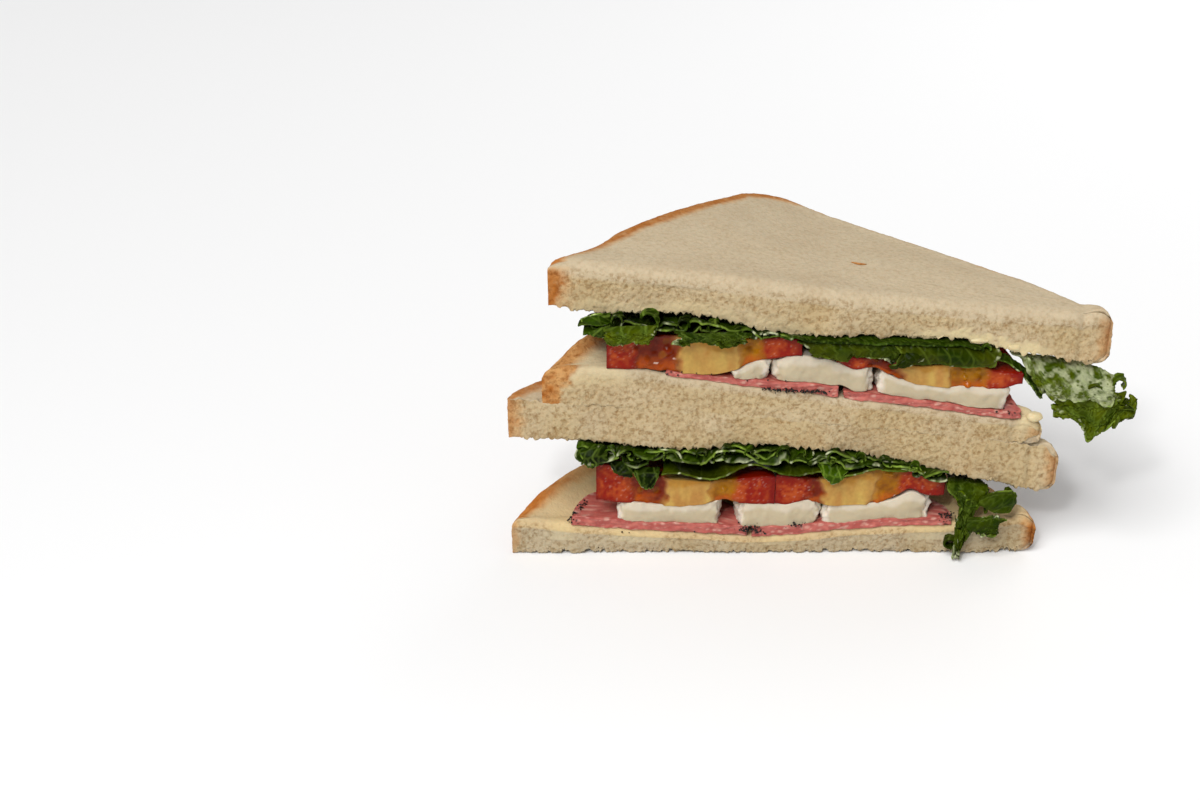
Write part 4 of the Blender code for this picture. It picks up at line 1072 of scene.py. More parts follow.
# Kinds of tomato flesh: colour, how far it sinks back in mm, how dry it is, and how streaked.
FLESH = {
    "skin": (TOMATO_SKIN, 0.0, 0.4, 0.0), "wall": (TOMATO_WALL, 0.0, 0.6, 1.0),
    "gel": (TOMATO_GEL, 0.9, 0.0, 0.1), "seeds": (TOMATO_SEEDS, 0.8, 0.0, 0.0),
    "core": (TOMATO_CORE, -0.3, 0.9, 0.0), "end": (TOMATO_SKIN, 0.0, 0.4, 0.0),
}
# What each slice shows along its cut, from the left: where each kind of flesh ends.
TOMATO_ZONES = {
    "tomato_low_left": [(-52, "skin"), (-43, "wall"), (-33, "gel"), (-17, "core"), (-11, "seeds"),
                        (-1.6, "wall"), (0, "end")],
    "tomato_low_right": [(1.3, "skin"), (9, "wall"), (14, "gel"), (30, "core"), (37, "seeds"),
                         (49, "wall"), (51, "end")],
    "tomato_up_left": [(-49, "skin"), (-42, "wall"), (-30, "gel"), (-13, "core"), (-6, "seeds"),
                       (4, "wall"), (6, "end")],
    "tomato_up_right": [(17, "skin"), (24, "wall"), (35, "gel"), (50, "core"), (60, "seeds"),
                        (68, "wall"), (70, "end")],
    "tomato_low_back": [(-27, "skin"), (-21, "wall"), (-14, "gel"), (2, "core"), (9, "gel"),
                        (15.4, "wall"), (17, "end")],
    "tomato_up_back": [(-16, "skin"), (-10, "wall"), (-5, "gel"), (7, "core"), (12, "gel"),
                       (18.4, "wall"), (20, "end")],
}


def tomato_maker(name, x0, x1, y0, depth):
    """The relief and the colours of one tomato slice, whose zones run round it and across its cut."""
    zones = TOMATO_ZONES[name]
    middle, radius = (x0 + x1) / 2, (x1 - x0) / 2

    def along(points):
        """Where each point lies among the zones, as a place along the cut."""
        across = (points[..., 0] - middle) / radius
        back = (points[..., 1] - y0) / depth
        out = np.minimum(np.hypot(across, back), 1.0) * np.where(across < 0, -1.0, 1.0)
        drift = 2.0 * noise(points / 5.0, 58) + 1.3 * noise(points / 2.4, 51)
        drift = drift + 0.5 * noise(points / 1.1, 56)
        return middle + radius * out + drift * (1 - out ** 4)

    def blend(points, column):
        """One column of FLESH at each point, softly blended where two kinds meet."""
        at = along(points)
        value = np.zeros(at.shape + (np.size(FLESH["wall"][column]),)) + FLESH[zones[0][1]][column]
        for (limit, _), (_, kind) in zip(zones, zones[1:]):
            value = mix(value, np.atleast_1d(FLESH[kind][column]), smooth((at - limit) / 3.2 + 0.5))
        return value

    def relief(points, rise):
        sunk = blend(points, 1)[..., 0]
        wet = smooth((sunk - 0.3) / 0.4)
        beads = holes(points / 3.4, 52, 0.3, 0.75) * wet
        return 1.3 * beads - 0.9 * sunk + (0.15 + 0.35 * wet) * rough(points / 2.5, 53) - 0.2

    def paint(points, rise, side):
        tone, dryness, streaked = (blend(points, column) for column in (0, 2, 3))
        core = smooth(1 - np.abs(dryness[..., 0] - 0.9) / 0.15)
        tone = mix(tone, TOMATO_CORE_PALE, core * (0.5 + 0.9 * rough(points / [2.4, 3.0, 6.0], 57)))
        mottle = 0.8 * rough(points / [2.4, 3.0, 5.0], 54) + 0.7 * rough(points / 0.9, 60)
        stripe = np.clip(0.4 + mottle, 0, 1) * np.sin(np.pi * rise).clip(0, 1) ** 0.6
        tone = mix(tone, TOMATO_STREAK, 0.8 * stripe * streaked[..., 0] * side)
        # Painted highlights: small pale sparkles on the walls.
        painted_wall_sparkles = smooth(holes(points / 0.8, 61, 0.1, 0.45) * 5.0) * streaked[..., 0] * side
        tone = mix(tone, TOMATO_PAINTED_SHINE, 0.13 * painted_wall_sparkles)
        wet = 1 - smooth(dryness[..., 0] / 0.3)
        seeds = holes(points / 3.4, 55, 0.25, 0.5)
        tone = mix(tone, TOMATO_SEEDS, np.clip(seeds * 2, 0, 0.3) * wet)
        shade = 0.25 + 0.9 * rough(points / [3.0, 3.0, 2.2], 59)
        tone = mix(tone, tone * [0.5, 0.35, 0.3], wet * shade)
        glow_low = smooth(1.1 - 2.6 * rise + 0.6 * rough(points / 3.0, 63))
        tone = mix(tone, TOMATO_GLOW, wet * side * glow_low * 0.7)
        yellow_high = smooth(4.0 * rise - 2.6 + 0.9 * rough(points / 3.0, 64))
        tone = mix(tone, TOMATO_SEEDS, core * side * yellow_high * 0.6)
        # Painted highlights: larger glints on the wet gel.
        glints = smooth(holes(points / [3.4, 3.4, 1.7], 62, 0.06, 0.22) * 12.0 - 0.3)
        tone = mix(tone, TOMATO_PAINTED_SHINE, 0.85 * glints * wet * side)
        skin = np.maximum(1 - smooth(rise / 0.08), smooth((rise - 0.94) / 0.06)) * (1 - core) * side
        return with_dryness(mix(tone, tone * 0.6, 0.5 * skin), dryness[..., 0])

    return relief, paint


def make_tomato(materials):
    """Two slices at the cut and one behind them in each filling."""
    for level, bed, slices in (("low", LOW_BED, TOMATO_LOW), ("up", UP_BED, TOMATO_UP)):
        for side, (x0, x1, bottom, top) in zip(("left", "right"), slices):
            name = f"tomato_{level}_{side}"
            relief, paint = tomato_maker(name, x0, x1, 0.0, 21.0)
            low, high = bed.over(bottom, -0.8, 2 * GAP), bed.over(top, 0.3, -GAP)
            outline = half_disc(x0 - 0.2, x1 + 0.9, 21, 0.42)
            filling_piece(name, "tomato", materials, outline, low, high, 0.35, relief, paint, 24)
    backs = [
        ("tomato_low_back", (-6, 42), (22, 12), LOW_BED.over(SALAMI_LOW_TOP, CHEESE_BACK_TOP + 2 * GAP),
         LOW_BED.over(SALAMI_LOW_TOP, TOMATO_BACK_TOP)),
        ("tomato_up_back", (1, 41.5), (18, 10),
         UP_BED.over(BREAD_3_TOP, SALAMI_BACK_TOP + CHEESE_BACK_TOP + 2 * GAP),
         UP_BED.over(BREAD_3_TOP, TOMATO_BACK_TOP)),
    ]
    for name, middle, radii, low, high in backs:
        relief, paint = tomato_maker(name, middle[0] - radii[0], middle[0] + radii[0], middle[1], radii[1])
        filling_piece(name, "tomato", materials, disc(middle, radii, 0.8), low, high, 0.8, relief, paint)


def steps_along(spots, axis):
    """How far each point of a grid lies along its row or column, in mm."""
    first = np.take(spots, [0], axis=axis)
    return np.cumsum(np.linalg.norm(np.diff(spots, axis=axis, prepend=first), axis=2), axis=axis)


def unit(vectors):
    """A grid of vectors, each made 1 long."""
    return vectors / np.maximum(np.linalg.norm(vectors, axis=2, keepdims=True), 1e-9)


def normals(spots):
    """The direction that each point of a grid faces."""
    return unit(np.cross(np.gradient(spots, axis=1), np.gradient(spots, axis=0)))


def crinkled(surface, loose, size, wave, seed, roof=None):
    """Crinkles a leaf where loose(u, v) is above 0, in folds about wave mm wide and size mm deep.

    roof is a height that the leaf stays under where it lies behind the cut.
    """

    def bent(u, v):
        spots = np.stack(surface(u, v), -1)
        run, climb = steps_along(spots, 1), steps_along(spots, 0)
        reach = size * loose(u, v)

        def waves(width, height, shift):
            at = flat(run / (width * wave) + shift, climb / (height * wave) + shift)
            return noise(at, seed + round(shift))

        out = reach * (1.3 * waves(1.0, 2.5, 0) + 0.8 * waves(0.45, 1.2, 11))
        out = out + 0.22 * rough(flat(run / 2.4, climb / 2.4), seed + 2)
        slide = reach * (0.7 * waves(0.6, 2.0, 23) + 0.3 * waves(0.25, 1.0, 31))
        fold = reach * (1.1 * waves(0.55, 1.5, 41) + 0.5 * waves(0.3, 1.0, 53))
        down, across = unit(np.gradient(spots, axis=0)), unit(np.gradient(spots, axis=1))
        spots = spots + normals(spots) * out[..., None] + down * slide[..., None]
        spots = spots + across * fold[..., None]
        if roof:
            x, y, z = np.moveaxis(spots, -1, 0)
            top = roof(x, y) + 2.5 * smooth((-0.8 - y) / 1.5)
            spots[..., 2] = np.where(z > top, top + 0.15 * (z - top), z)
        return tuple(np.moveaxis(spots, -1, 0))

    return bent


def notched(surface, teeth, bite, seed):
    """Cuts a leaf's free edge and sides into teeth, to bite of its length and half that of its width."""

    def resampled(spots, at, axis):
        at = at * (spots.shape[axis] - 1)
        low = np.minimum(at.astype(int), spots.shape[axis] - 2)
        near = np.take_along_axis(spots, low[..., None], axis)
        far = np.take_along_axis(spots, low[..., None] + 1, axis)
        return near + (far - near) * (at - low)[..., None]

    def notch(t, shift):
        fine = np.abs(noise(flat(t * teeth * 2.3 + shift, 0.0 * t), seed + 1))
        coarse = np.abs(noise(flat(t * teeth + shift, 0.0 * t), seed))
        return 0.75 * np.clip(1 - 3.0 * coarse, 0, 1) + 0.25 * np.clip(1 - 3.0 * fine, 0, 1)

    def cut(u, v):
        spots = np.stack(surface(u, v), -1)
        spots = resampled(spots, v * (1 - bite * notch(u, 0.0)), 0)
        spots = resampled(spots, 0.5 + (u - 0.5) * (1 - bite * notch(v, 7.0) * smooth(v * 2.0)), 1)
        return tuple(np.moveaxis(spots, -1, 0))

    return cut


def leaf_tones(spots, run, climb, edge, vein, tones, seed, smear):
    """The colours of one sheet: its green, its lighter veins and rim, and the spread smeared on it."""
    deep, green, rim = tones
    tone = mix(deep, green, 0.4 + 0.7 * rough(flat(run / 5.0, climb / 5.0), seed + 3) + 0.25 * edge)
    lit_edge = 0.9 * smooth((edge - 0.95) / 0.05) * np.clip(0.35 + 1.2 * rough(spots / 3.5, seed + 9), 0, 1)
    tone = mix(tone, rim, 0.36 * vein + lit_edge)
    white = smooth((rough(spots / 2.4, seed + 5, 4) - 1 + 1.3 * smear) / (0.3 + 0.5 * smear))
    white = white * (1 - np.clip(3.0 * holes(spots / 1.7, seed + 6, 0.2, 0.6), 0, 0.75) * smear)
    white = np.maximum(white, smooth((edge - 0.9) / 0.1) * smooth(rough(spots / 2.2, seed + 7) * 2.5 - 0.5))
    dryness = 0.35 + 0.4 * noise(flat(run / 4.0, climb / 4.0), seed)
    return with_dryness(mix(tone, LEAF_SMEAR, (0.85 - 0.25 * smear) * white), dryness)


def sheet_faces(rows, cols, start):
    """The faces of a closed sheet, whose points are numbered from start, the upper ones first."""
    count = rows * cols
    at = start + np.arange(count).reshape(rows, cols)
    a, b, c, d = at[:-1, :-1], at[:-1, 1:], at[1:, 1:], at[1:, :-1]
    upper = np.stack([a, b, c, d], -1).reshape(-1, 4)
    lower = np.stack([a, d, c, b], -1).reshape(-1, 4) + count
    border = np.concatenate([at[0, :-1], at[:-1, -1], at[-1, :0:-1], at[:0:-1, 0]])
    after = np.roll(border, -1)
    band = np.column_stack([after, border, border + count, after + count])
    return upper.tolist() + lower.tolist() + band.tolist()


def sheet_mesh(surface, rows, cols, rim_at, tones, seed, smear, start):
    """One thin closed sheet: its vertices, faces and tones, with face numbers from start."""
    u, v = np.meshgrid(np.linspace(0, 1, cols), np.linspace(0, 1, rows))
    spots = np.stack(surface(u, v), -1)
    run, climb = steps_along(spots, 1), steps_along(spots, 0)
    cells = cell_edges(flat(run / 2.6 + 0.3 * climb, climb / 3.4), seed)
    ribs = np.abs(((run + 2.5 * noise(flat(run / 9.0, climb / 9.0), seed + 2)) / 6.5) % 1.0 - 0.5) * 2
    vein = np.maximum(0.45 * (1 - cells * 2.5), 1 - (1 - ribs) * 8.0).clip(0, 1)
    spots = spots + normals(spots) * (0.16 * cells - 0.2 * vein)[..., None]
    half = normals(spots) * LEAF_THICKNESS / 2
    tone = leaf_tones(spots, run, climb, rim_at(u, v), vein, tones, seed, smear).reshape(-1, 4)
    verts = np.vstack([(spots + half).reshape(-1, 3), (spots - half).reshape(-1, 3)])
    return verts, sheet_faces(rows, cols, start), np.vstack([tone, tone])


# How light each of a leaf's sheets is, in turn.
SHEET_LIGHT = (1.0, 0.7, 1.5, 1.2, 1.9, 0.8, 1.4, 0.6, 1.7)


def leaf_piece(name, materials, sheets, slot, tones, seed):
    """Adds a leaf of sheets, each a surface, rows, columns, where its pale rim is, and how smeared it is."""
    verts, faces, tone, start = [], [], [], 0
    for k, (surface, rows, cols, rim_at, smear) in enumerate(sheets):
        lit = [colour * SHEET_LIGHT[k % len(SHEET_LIGHT)] for colour in tones]
        some, joined, colours = sheet_mesh(surface, rows, cols, rim_at, lit, seed + 13 * k, smear, start)
        verts.append(some)
        faces += joined
        tone.append(colours)
        start += len(some)
    add_piece(name, np.vstack(verts), faces, np.vstack(tone), materials["lettuce"], slot, [name])


def front_edge(u, v):
    """1 at a main leaf's front edge and 0 behind it."""
    return 1 - smooth(v / 0.2)


def front_left(u, v):
    """The front edge of the upper leaf, which lies flatter on its right."""
    return front_edge(u, v) * (1 - 0.8 * smooth((u - 0.5) / 0.1))


def far_edge(u, v):
    """1 at the free edge of a leaf over the crust and 0 where it starts."""
    return smooth(v / 0.9 - 0.1)


def open_edges(u, v):
    """1 round a leaf's three free edges and 0 in its middle and at its first row."""
    sides = np.maximum(1 - u / 0.22, 1 - (1 - u) / 0.22) * smooth(v * 3.0)
    return smooth(np.maximum(sides, 1 - (1 - v) / 0.3))


def rolled(middle, radius, start, turn, depth, tall=1.0):
    """A curled edge seen end on: an open roll round a line that runs back from middle."""
    x0, y0, z0 = middle

    def surface(u, v):
        angle = np.radians(start + turn * u)
        size = radius * (0.75 + 0.45 * u)
        lean = 0.5 * np.sin(3.0 * u)
        x, z = x0 + size * np.cos(angle) + 0.6 * v, z0 + tall * size * np.sin(angle)
        return x, y0 + depth * v + lean, z

    return surface


# Small rolls along the leaves' front edges: middle (x, y, z), radius, first angle and turn in degrees.
LOW_ARCHES = [
    ((-49, -2.8, 35.6), 1.7, -10, 230), ((-41, -2.6, 34.4), 1.5, 150, 250),
    ((-31, -2.4, 34.6), 1.9, -30, 240), ((-22, -2.6, 35.2), 1.5, -10, 210),
    ((-14.5, -2.8, 36.4), 1.8, 0, 230), ((-8, -2.4, 36), 1.3, -40, 240),
    ((2, -2.6, 36), 1.8, -10, 220), ((9, -2.4, 35), 1.3, 120, 230),
    ((17, -2.6, 34.8), 1.8, -20, 230), ((25, -2.4, 33.4), 1.4, 0, 210),
    ((32, -2.6, 32.4), 1.8, -30, 250), ((41, -2.4, 30.8), 1.4, -10, 220),
]
UP_ARCHES = [
    ((-53, -2.6, 77.6), 1.5, 130, 240), ((-47, -3.4, 79), 1.6, -10, 220),
    ((-28, -3, 77.6), 1.7, -20, 230), ((-20, -2.8, 76.8), 1.4, 0, 220),
    ((-13, -2.8, 75.2), 1.5, -30, 240), ((-5, -2.4, 74), 1.1, 0, 210),
    ((58, -2.2, 69.6), 1.2, -10, 220),
]
# The same for the rolls at the sides of the loose leaves.
SIDE_ROLLS = {
    "lettuce_low_sprig": [((53.6, -3.4, 5.2), 1.9, 60, 290), ((58.5, -3.6, 20), 2.0, 120, 260),
                          ((62, -3.4, 17), 1.7, -60, 230), ((55, -3.2, 22), 1.6, 0, 250)],
    "lettuce_low_sprig_round": [((68.4, -3.6, 21), 2.2, 200, 260)],
    "lettuce_up_tail": [((90, -4, 57), 2.6, 20, 270), ((80, -3.4, 56), 2.0, 150, 240),
                        ((97, -3.6, 59), 1.8, -60, 240)],
    "lettuce_up_frill": [((98.6, -3.8, 50.6), 2.4, -120, 260), ((86, -3.8, 49.4), 2.0, 170, 230),
                         ((92.5, -4.2, 46.4), 1.8, 200, 250)],
    "lettuce_up_flap_left": [((-38.6, -4.8, 75.6), 1.6, 120, 260)],
}


def make_arches(rolls, seed):
    """The sheets of some small rolls, as leaf_piece takes them."""
    sheets = []
    for k, (middle, radius, start, turn) in enumerate(rolls):
        roll = rolled(middle, radius, start, turn, 3.6, 0.9)
        sheets.append((crinkled(roll, open_edges, 0.5, 2.4, seed + 3 * k), 20, 52, open_edges, 0.4))
    return sheets


DARK_TONES = (LEAF_DARK, LEAF_GREEN, LEAF_RIM)
MIDDLE_TONES = (LEAF_GREEN * 0.6, mix(LEAF_GREEN, LEAF_PALE, 0.5), LEAF_RIM)
FRESH_TONES = (mix(LEAF_GREEN, LEAF_PALE, 0.3), LEAF_PALE * 1.4, LEAF_RIM * 1.2)
PALE_TONES = (LEAF_GREEN * 0.5, LEAF_PALE * 0.75, mix(LEAF_PALE, LEAF_RIM, 0.5))


# How far back the main leaves reach.
LEAF_BACK = 56.0


def main_sheets(floor, ceiling, roof, sides, loose, waves, rows, cols, smear, seed):
    """The large sheets of a main leaf, which wave between a floor and a ceiling and stay under a roof.

    waves holds each sheet's phase, how far it is raised, the width and depth of its crinkles, and the y of
    its front edge.
    """
    sheets = []
    for phase, raised, wave, size, front in waves:
        base = ruffled(lambda x, y, up=raised: floor(x, y) + up, ceiling, *sides, front, LEAF_BACK, phase)
        sheet = crinkled(base, loose, size, wave, seed + round(wave), roof)
        sheets.append((sheet, rows, cols, loose, smear))
    return sheets


def tuft(points, size, wave, seed, rows=30, cols=44, smear=0.1):
    """A small loose sheet through rows of points, as leaf_piece takes it."""
    return crinkled(draped(points), open_edges, size, wave, seed), rows, cols, open_edges, smear


def make_low_main(materials):
    """The main leaf of the lower filling, with the curls at its front edge."""
    sides = ([(-3, -58), (8, -57), (20, -55), (30, -44), (42, -30), (56, -18)],
             [(-3, 50), (10, 52), (22, 46), (30, 36), (42, 24), (56, 6)])
    waves = [(0.7, 0.6, 7.0, 2.4, -2.8), (3.3, -0.6, 5.5, 2.0, -2.2), (5.2, 1.4, 4.2, 1.6, -1.4)]
    floor, ceiling = LOW_ROOF.over(LEAF_LOW_FLOOR, 0.6), LOW_ROOF.over(BREAD_2_BOTTOM, -3 * GAP)
    roof = LOW_ROOF.over(BREAD_2_BOTTOM, -0.5)
    sheets = main_sheets(floor, ceiling, roof, sides, front_edge, waves, 38, 290, 0.42, 60)
    sheets += [tuft(LOW_CURL, 0.9, 3.6, 65, 40, 44, 0.35), tuft(LOW_TUFT, 0.6, 3.0, 66),
               tuft(LOW_SLIP, 0.6, 3.0, 67)]
    sheets += make_arches(LOW_ARCHES, 500)
    leaf_piece("lettuce_low_main", materials, sheets, "lettuce", DARK_TONES, 61)


def make_up_main(materials):
    """The main leaf of the upper filling, with spikes at its left end and curls at its front edge."""
    sides = ([(-3, -57), (6, -55), (18, -48), (30, -34), (42, -22), (56, -12)],
             [(-3, 57), (5, 49), (24, 43), (34, 35), (44, 26), (56, 11)])
    waves = [(2.1, 0.5, 6.5, 1.7, -2.4), (4.9, -0.4, 5.0, 1.3, -1.8)]
    floor = UP_ROOF.over(LEAF_UP_FLOOR, 0.6, 2 * GAP)
    ceiling, roof = UP_ROOF.over(BREAD_4_BOTTOM, -4 * GAP, -3 * GAP), UP_ROOF.over(BREAD_4_BOTTOM, -0.5)
    sheets = main_sheets(floor, ceiling, roof, sides, front_left, waves, 40, 300, 0.2, 70)
    sheets += [tuft(UP_SPIKE, 0.6, 2.6, 81, 40, 34), tuft(UP_SPIKE_LOW, 0.6, 2.6, 82, 40, 34)]
    curl = crinkled(rolled((-38.4, -4.6, 78.6), 2.6, -150, 290, 3.4, 1.15), open_edges, 0.35, 4.0, 83)
    sheets.append((curl, 26, 70, open_edges, 0.2))
    sheets += make_arches(UP_ARCHES, 540)
    leaf_piece("lettuce_up_main", materials, sheets, "lettuce", DARK_TONES, 71)


def make_low_fold(materials):
    """The fold of the lower leaf that lies on the tomato."""
    fold = ruffled(LOW_BED.over(TOMATO_LOW_CREST, 0.9), LOW_ROOF.over(LEAF_LOW_FLOOR, 0.2),
                   [(-2.6, -33), (20, -33)], [(-2.6, 46), (20, 42)], -2.6, 20.0, 4.0)
    sheet = (crinkled(fold, front_edge, 0.6, 9.0, 80), 30, 240, front_edge, 0.0)
    leaf_piece("lettuce_low_fold", materials, [sheet], "lettuce_pale", PALE_TONES, 81)


# How many notches a loose leaf has along its edge, and how deep they cut.
TEETH = {
    "lettuce_low_sprig": (5, 0.3), "lettuce_low_sprig_round": (2, 0.1),
    "lettuce_low_sprig_flare": (5, 0.45), "lettuce_up_flap_left": (3, 0.35),
    "lettuce_up_flap_right": (4, 0.3), "lettuce_up_inner_left": (3.5, 0.25),
    "lettuce_up_tail": (4, 0.2), "lettuce_up_frill": (4.5, 0.42),
}
OTHER_TEETH = (6, 0.1)


def make_loose_leaves(materials):
    """Each leaf that hangs free: rows of points, rows and columns of its mesh, tones, crinkle and smear."""
    leaves = [
        ("lettuce_low_strip", draped(LOW_STRIP), 40, 40, DARK_TONES, 0.3, 0.0),
        ("lettuce_low_sprig", draped(LOW_SPRIG, 0.2, 1, 0.5), 90, 44, MIDDLE_TONES, 0.9, 0.0),
        ("lettuce_low_sprig_round", draped(LOW_SPRIG_ROUND), 50, 40, MIDDLE_TONES, 0.6, 0.0),
        ("lettuce_low_sprig_flare", draped(LOW_SPRIG_FLARE), 50, 40, MIDDLE_TONES, 0.6, 0.0),
        ("lettuce_up_flap_left", draped(UP_FLAP_LEFT, 0.8, 1.5, 1.0), 50, 90, FRESH_TONES, 0.9, 0.35),
        ("lettuce_up_flap_right", draped(UP_FLAP_RIGHT, 0.6, 2, 2.0), 40, 130, MIDDLE_TONES, 0.9, 0.2),
        ("lettuce_up_inner_left", draped(UP_INNER_LEFT, 0.3, 2, 0.0), 44, 130, PALE_TONES, 0.4, 0.0),
        ("lettuce_up_stem", draped(UP_STEM), 30, 90, DARK_TONES, 0.3, 0.1),
        ("lettuce_up_tail", draped(UP_TAIL, 0.5, 2, 0.6), 72, 130, FRESH_TONES, 1.8, 1.15),
        ("lettuce_up_frill", draped(UP_FRILL, 1.0, 3, 0.0), 84, 170, FRESH_TONES, 2.2, 0.15),
    ]
    pale = ("lettuce_low_strip", "lettuce_up_flap_left", "lettuce_up_flap_right", "lettuce_up_inner_left",
            "lettuce_up_tail")
    for k, (name, surface, rows, cols, tones, crinkle, smear) in enumerate(leaves):
        surface = notched(surface, *TEETH.get(name, OTHER_TEETH), 900 + k)
        wave = 5.0 if name in ("lettuce_up_tail", "lettuce_up_frill") else 3.4
        surface = crinkled(surface, open_edges, crinkle, wave, 120 + 5 * k)
        sheets = [(surface, rows, cols, open_edges, smear)]
        sheets += make_arches(SIDE_ROLLS.get(name, []), 700 + 11 * k)
        slot = "lettuce_pale" if name in pale else "lettuce"
        leaf_piece(name, materials, sheets, slot, tones, 200 + 37 * k)
    curtain = crinkled(draped(UP_INNER_RIGHT, 0.3, 2, 1.0), open_edges, 0.4, 5.0, 190)
    sheets = [(curtain, 44, 140, open_edges, 0.0), tuft(UP_TONGUE, 0.8, 2.8, 191, 44, 40, 0.0)]
    leaf_piece("lettuce_up_inner_right", materials, sheets, "lettuce_pale", PALE_TONES, 570)


def make_crust_leaves(materials):
    """The leaf edges that hang out a little way over the crusts."""
    leaves = [
        ("lettuce_low_edge_left", frill((-56, 27), (-20, 70), 25.5, 26, 20, 6, 4, 0.0)),
        ("lettuce_low_edge_right", frill((12, 57), (54, 22), 26, 25, 18, 6, 5, 1.0)),
        ("lettuce_up_edge_left", frill((-46, 26), (-14, 64), 73, 72.6, 70, 5, 4, 2.0)),
        ("lettuce_up_edge_right", frill((14, 55), (50, 25), 70, 68, 62, 7, 5, 3.0)),
    ]
    for k, (name, surface) in enumerate(leaves):
        sheet = (crinkled(surface, far_edge, 1.4, 5.0, 300 + 5 * k), 44, 130, far_edge, 0.0)
        leaf_piece(name, materials, [sheet], "lettuce", DARK_TONES, 620 + 37 * k)


def tube_faces(rows, cols):
    """The faces of a tube of rings with cols points each, closed at both ends."""
    at = np.arange(rows * cols).reshape(rows, cols)
    after = np.roll(at, -1, 1)
    faces = np.stack([at[:-1], at[1:], after[1:], after[:-1]], -1).reshape(-1, 4).tolist()
    return faces + [at[0].tolist(), at[-1][::-1].tolist()]


# The bead of spread at the third slice's right-hand corner, and two smaller ones: middle and radii.
SPREAD_DROPS = [
    ((74.6, 0.2, 47), (2.2, 1.6, 1.5)), ((66, 0.3, 69.4), (2.0, 0.9, 1.0)),
    ((56, 0.1, 71.6), (2.6, 0.8, 0.9)),
]


def make_drops(materials):
    """The beads of spread, as lumpy balls."""
    around, down = np.linspace(0, 2 * np.pi, 40, endpoint=False), np.linspace(0.12, np.pi - 0.12, 20)
    u, v = np.meshgrid(around, down)
    for k, (middle, radii) in enumerate(SPREAD_DROPS):
        ball = np.stack([np.cos(u) * np.sin(v), np.sin(u) * np.sin(v), np.cos(v)], -1)
        ball = ball * (1 + 0.22 * noise(ball * 1.6 + 9 * k, 410)[..., None])
        verts = (np.array(middle) + ball * radii).reshape(-1, 3)
        add_piece(f"spread_drop_{k + 1}", verts, tube_faces(*u.shape), plain(SPREAD, 0.0, verts),
                  materials["cheese"], "cheese")


# Where the strand of crust starts on the top slice.
STRAND_X, STRAND_Y = 21.5, 23.0


def make_strand(materials):
    """The thin curved strand of crust that lies on the top slice."""
    top = TOP.over(BREAD_4_TOP)
    t = np.linspace(0, 1, 24)
    x = STRAND_X + 4.4 * t
    y = STRAND_Y - 3.0 * t + 2.2 * t ** 2
    middle = np.stack([x, y, top(x, y) + 0.25], -1)
    radius = 0.1 + 0.24 * np.sin(np.pi * t)
    angle = np.linspace(0, 2 * np.pi, 7)[:-1]
    ring = np.stack([0.0 * angle, np.cos(angle), np.sin(angle)], -1)
    verts = (middle[:, None] + ring * radius[:, None, None]).reshape(-1, 3)
    tone = plain(mix(CRUST_TAN, CRUST_BROWN, 0.5), 0.9, verts)
    add_piece("crust_strand", verts, tube_faces(len(t), len(angle)), tone, materials["bread"], "bread")


# The stage, in metres: the lamps look at the middle of the sandwich.
LAMP_TARGET = np.array([0, 0, 0.05])
FLOOR_REACH = 3.0
FLOOR_TOP = -0.0003
FLOOR_GREY = 0.9
WORLD_STRENGTH = 0.3
# Each lamp's kind, place, spread and power.
LAMPS = {
    "key": ("SUN", (-0.35, -0.5, 0.85), 0.6, 2.35),
    "glint": ("AREA", (-0.2, -0.55, 0.5), 0.06, 1.3),
    "rim": ("AREA", (0.5, 0.6, 0.6), 0.6, 1.5),
}


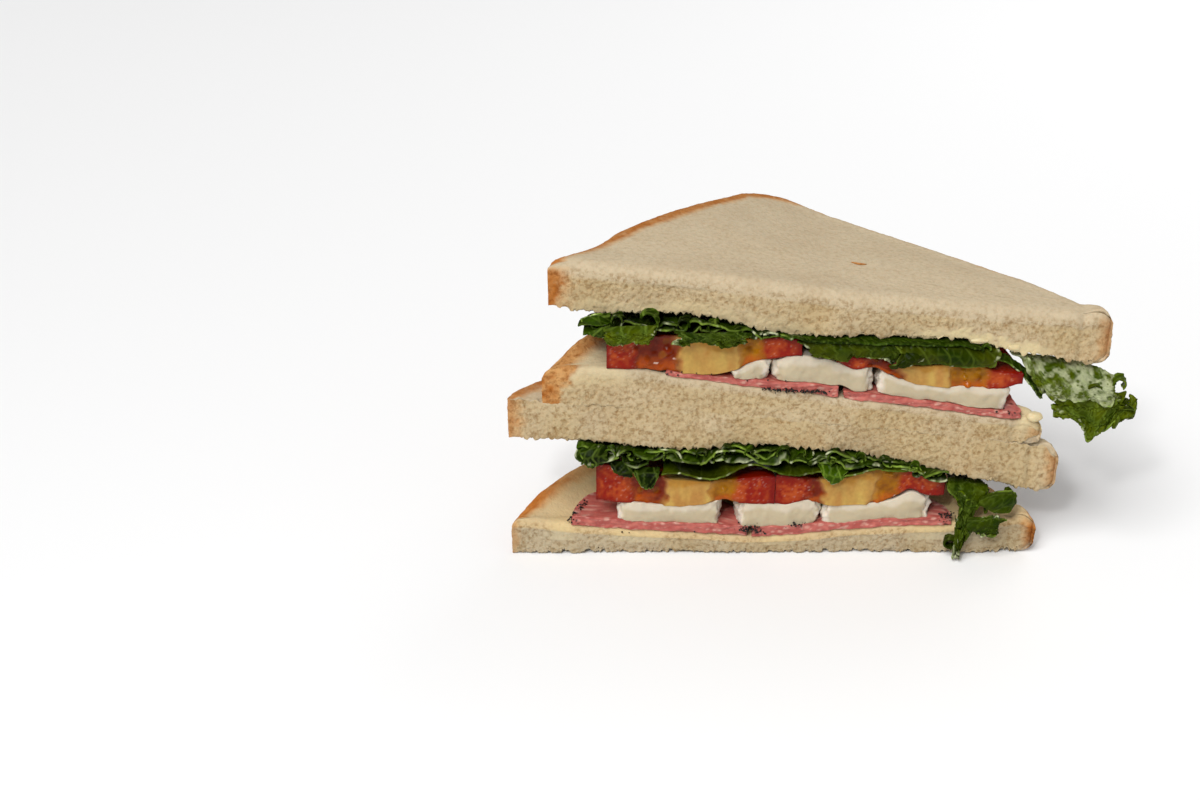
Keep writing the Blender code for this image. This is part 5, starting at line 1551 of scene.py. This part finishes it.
def add_lamp(name, kind, place, spread, power):
    """A soft light that looks at the sandwich: a sun spread over an angle, or a square of some size."""
    light = bpy.data.lights.new(name, kind)
    if kind == "SUN":
        light.angle = spread
    else:
        light.size = spread
    light.energy = power
    lamp = bpy.data.objects.new(name, light)
    lamp.location = place
    direction = LAMP_TARGET - np.array(place)
    tilt = math.atan2(math.hypot(*direction[:2]), -direction[2])
    lamp.rotation_euler = (tilt, 0, math.atan2(direction[1], direction[0]) - math.pi / 2)
    bpy.context.scene.collection.objects.link(lamp)


def make_stage():
    """A pale floor and a soft studio: a large light above the camera's left, and weaker ones round it."""
    mesh = bpy.data.meshes.new("floor")
    corners = [(x * FLOOR_REACH, y * FLOOR_REACH, 0) for x, y in ((-1, -1), (1, -1), (1, 1), (-1, 1))]
    mesh.from_pydata(corners, [], [(0, 1, 2, 3)])
    floor = bpy.data.objects.new("floor", mesh)
    floor.location.z = FLOOR_TOP
    bpy.context.scene.collection.objects.link(floor)
    material = bpy.data.materials.new("floor")
    material.use_nodes = True
    shader = material.node_tree.nodes["Principled BSDF"]
    shader.inputs["Base Color"].default_value = (FLOOR_GREY, FLOOR_GREY, FLOOR_GREY, 1)
    shader.inputs["Roughness"].default_value = 0.9
    mesh.materials.append(material)
    world = bpy.data.worlds.new("studio")
    world.use_nodes = True
    background = world.node_tree.nodes["Background"]
    background.inputs["Color"].default_value = (1.0, 1.0, 1.0, 1.0)
    background.inputs["Strength"].default_value = WORLD_STRENGTH
    bpy.context.scene.world = world
    for name, lamp in LAMPS.items():
        add_lamp(name, *lamp)


# The photograph's viewpoint, in design millimetres, and its downward tilt in degrees.
CAMERA_PLACE = np.array([-51.9, -426.8, 277.6])
CAMERA_TILT = 27.8


def make_camera():
    """The camera that sees the object as the photograph does."""
    data = bpy.data.cameras.new("camera")
    data.lens = 50.0
    data.sensor_width = 36.0
    camera = bpy.data.objects.new("camera", data)
    camera.location = CAMERA_PLACE * MM + ORIGIN
    camera.rotation_euler = (math.radians(90.0 - CAMERA_TILT), 0.0, 0.0)
    bpy.context.scene.collection.objects.link(camera)
    bpy.context.scene.camera = camera


materials = make_materials()
make_breads(materials)
make_salami(materials)
make_pepper(materials)
make_cheese(materials)
make_tomato(materials)
make_low_main(materials)
make_up_main(materials)
make_low_fold(materials)
make_loose_leaves(materials)
make_crust_leaves(materials)
make_drops(materials)
make_strand(materials)
make_stage()
make_camera()
bpy.context.scene.view_settings.view_transform = "Standard"
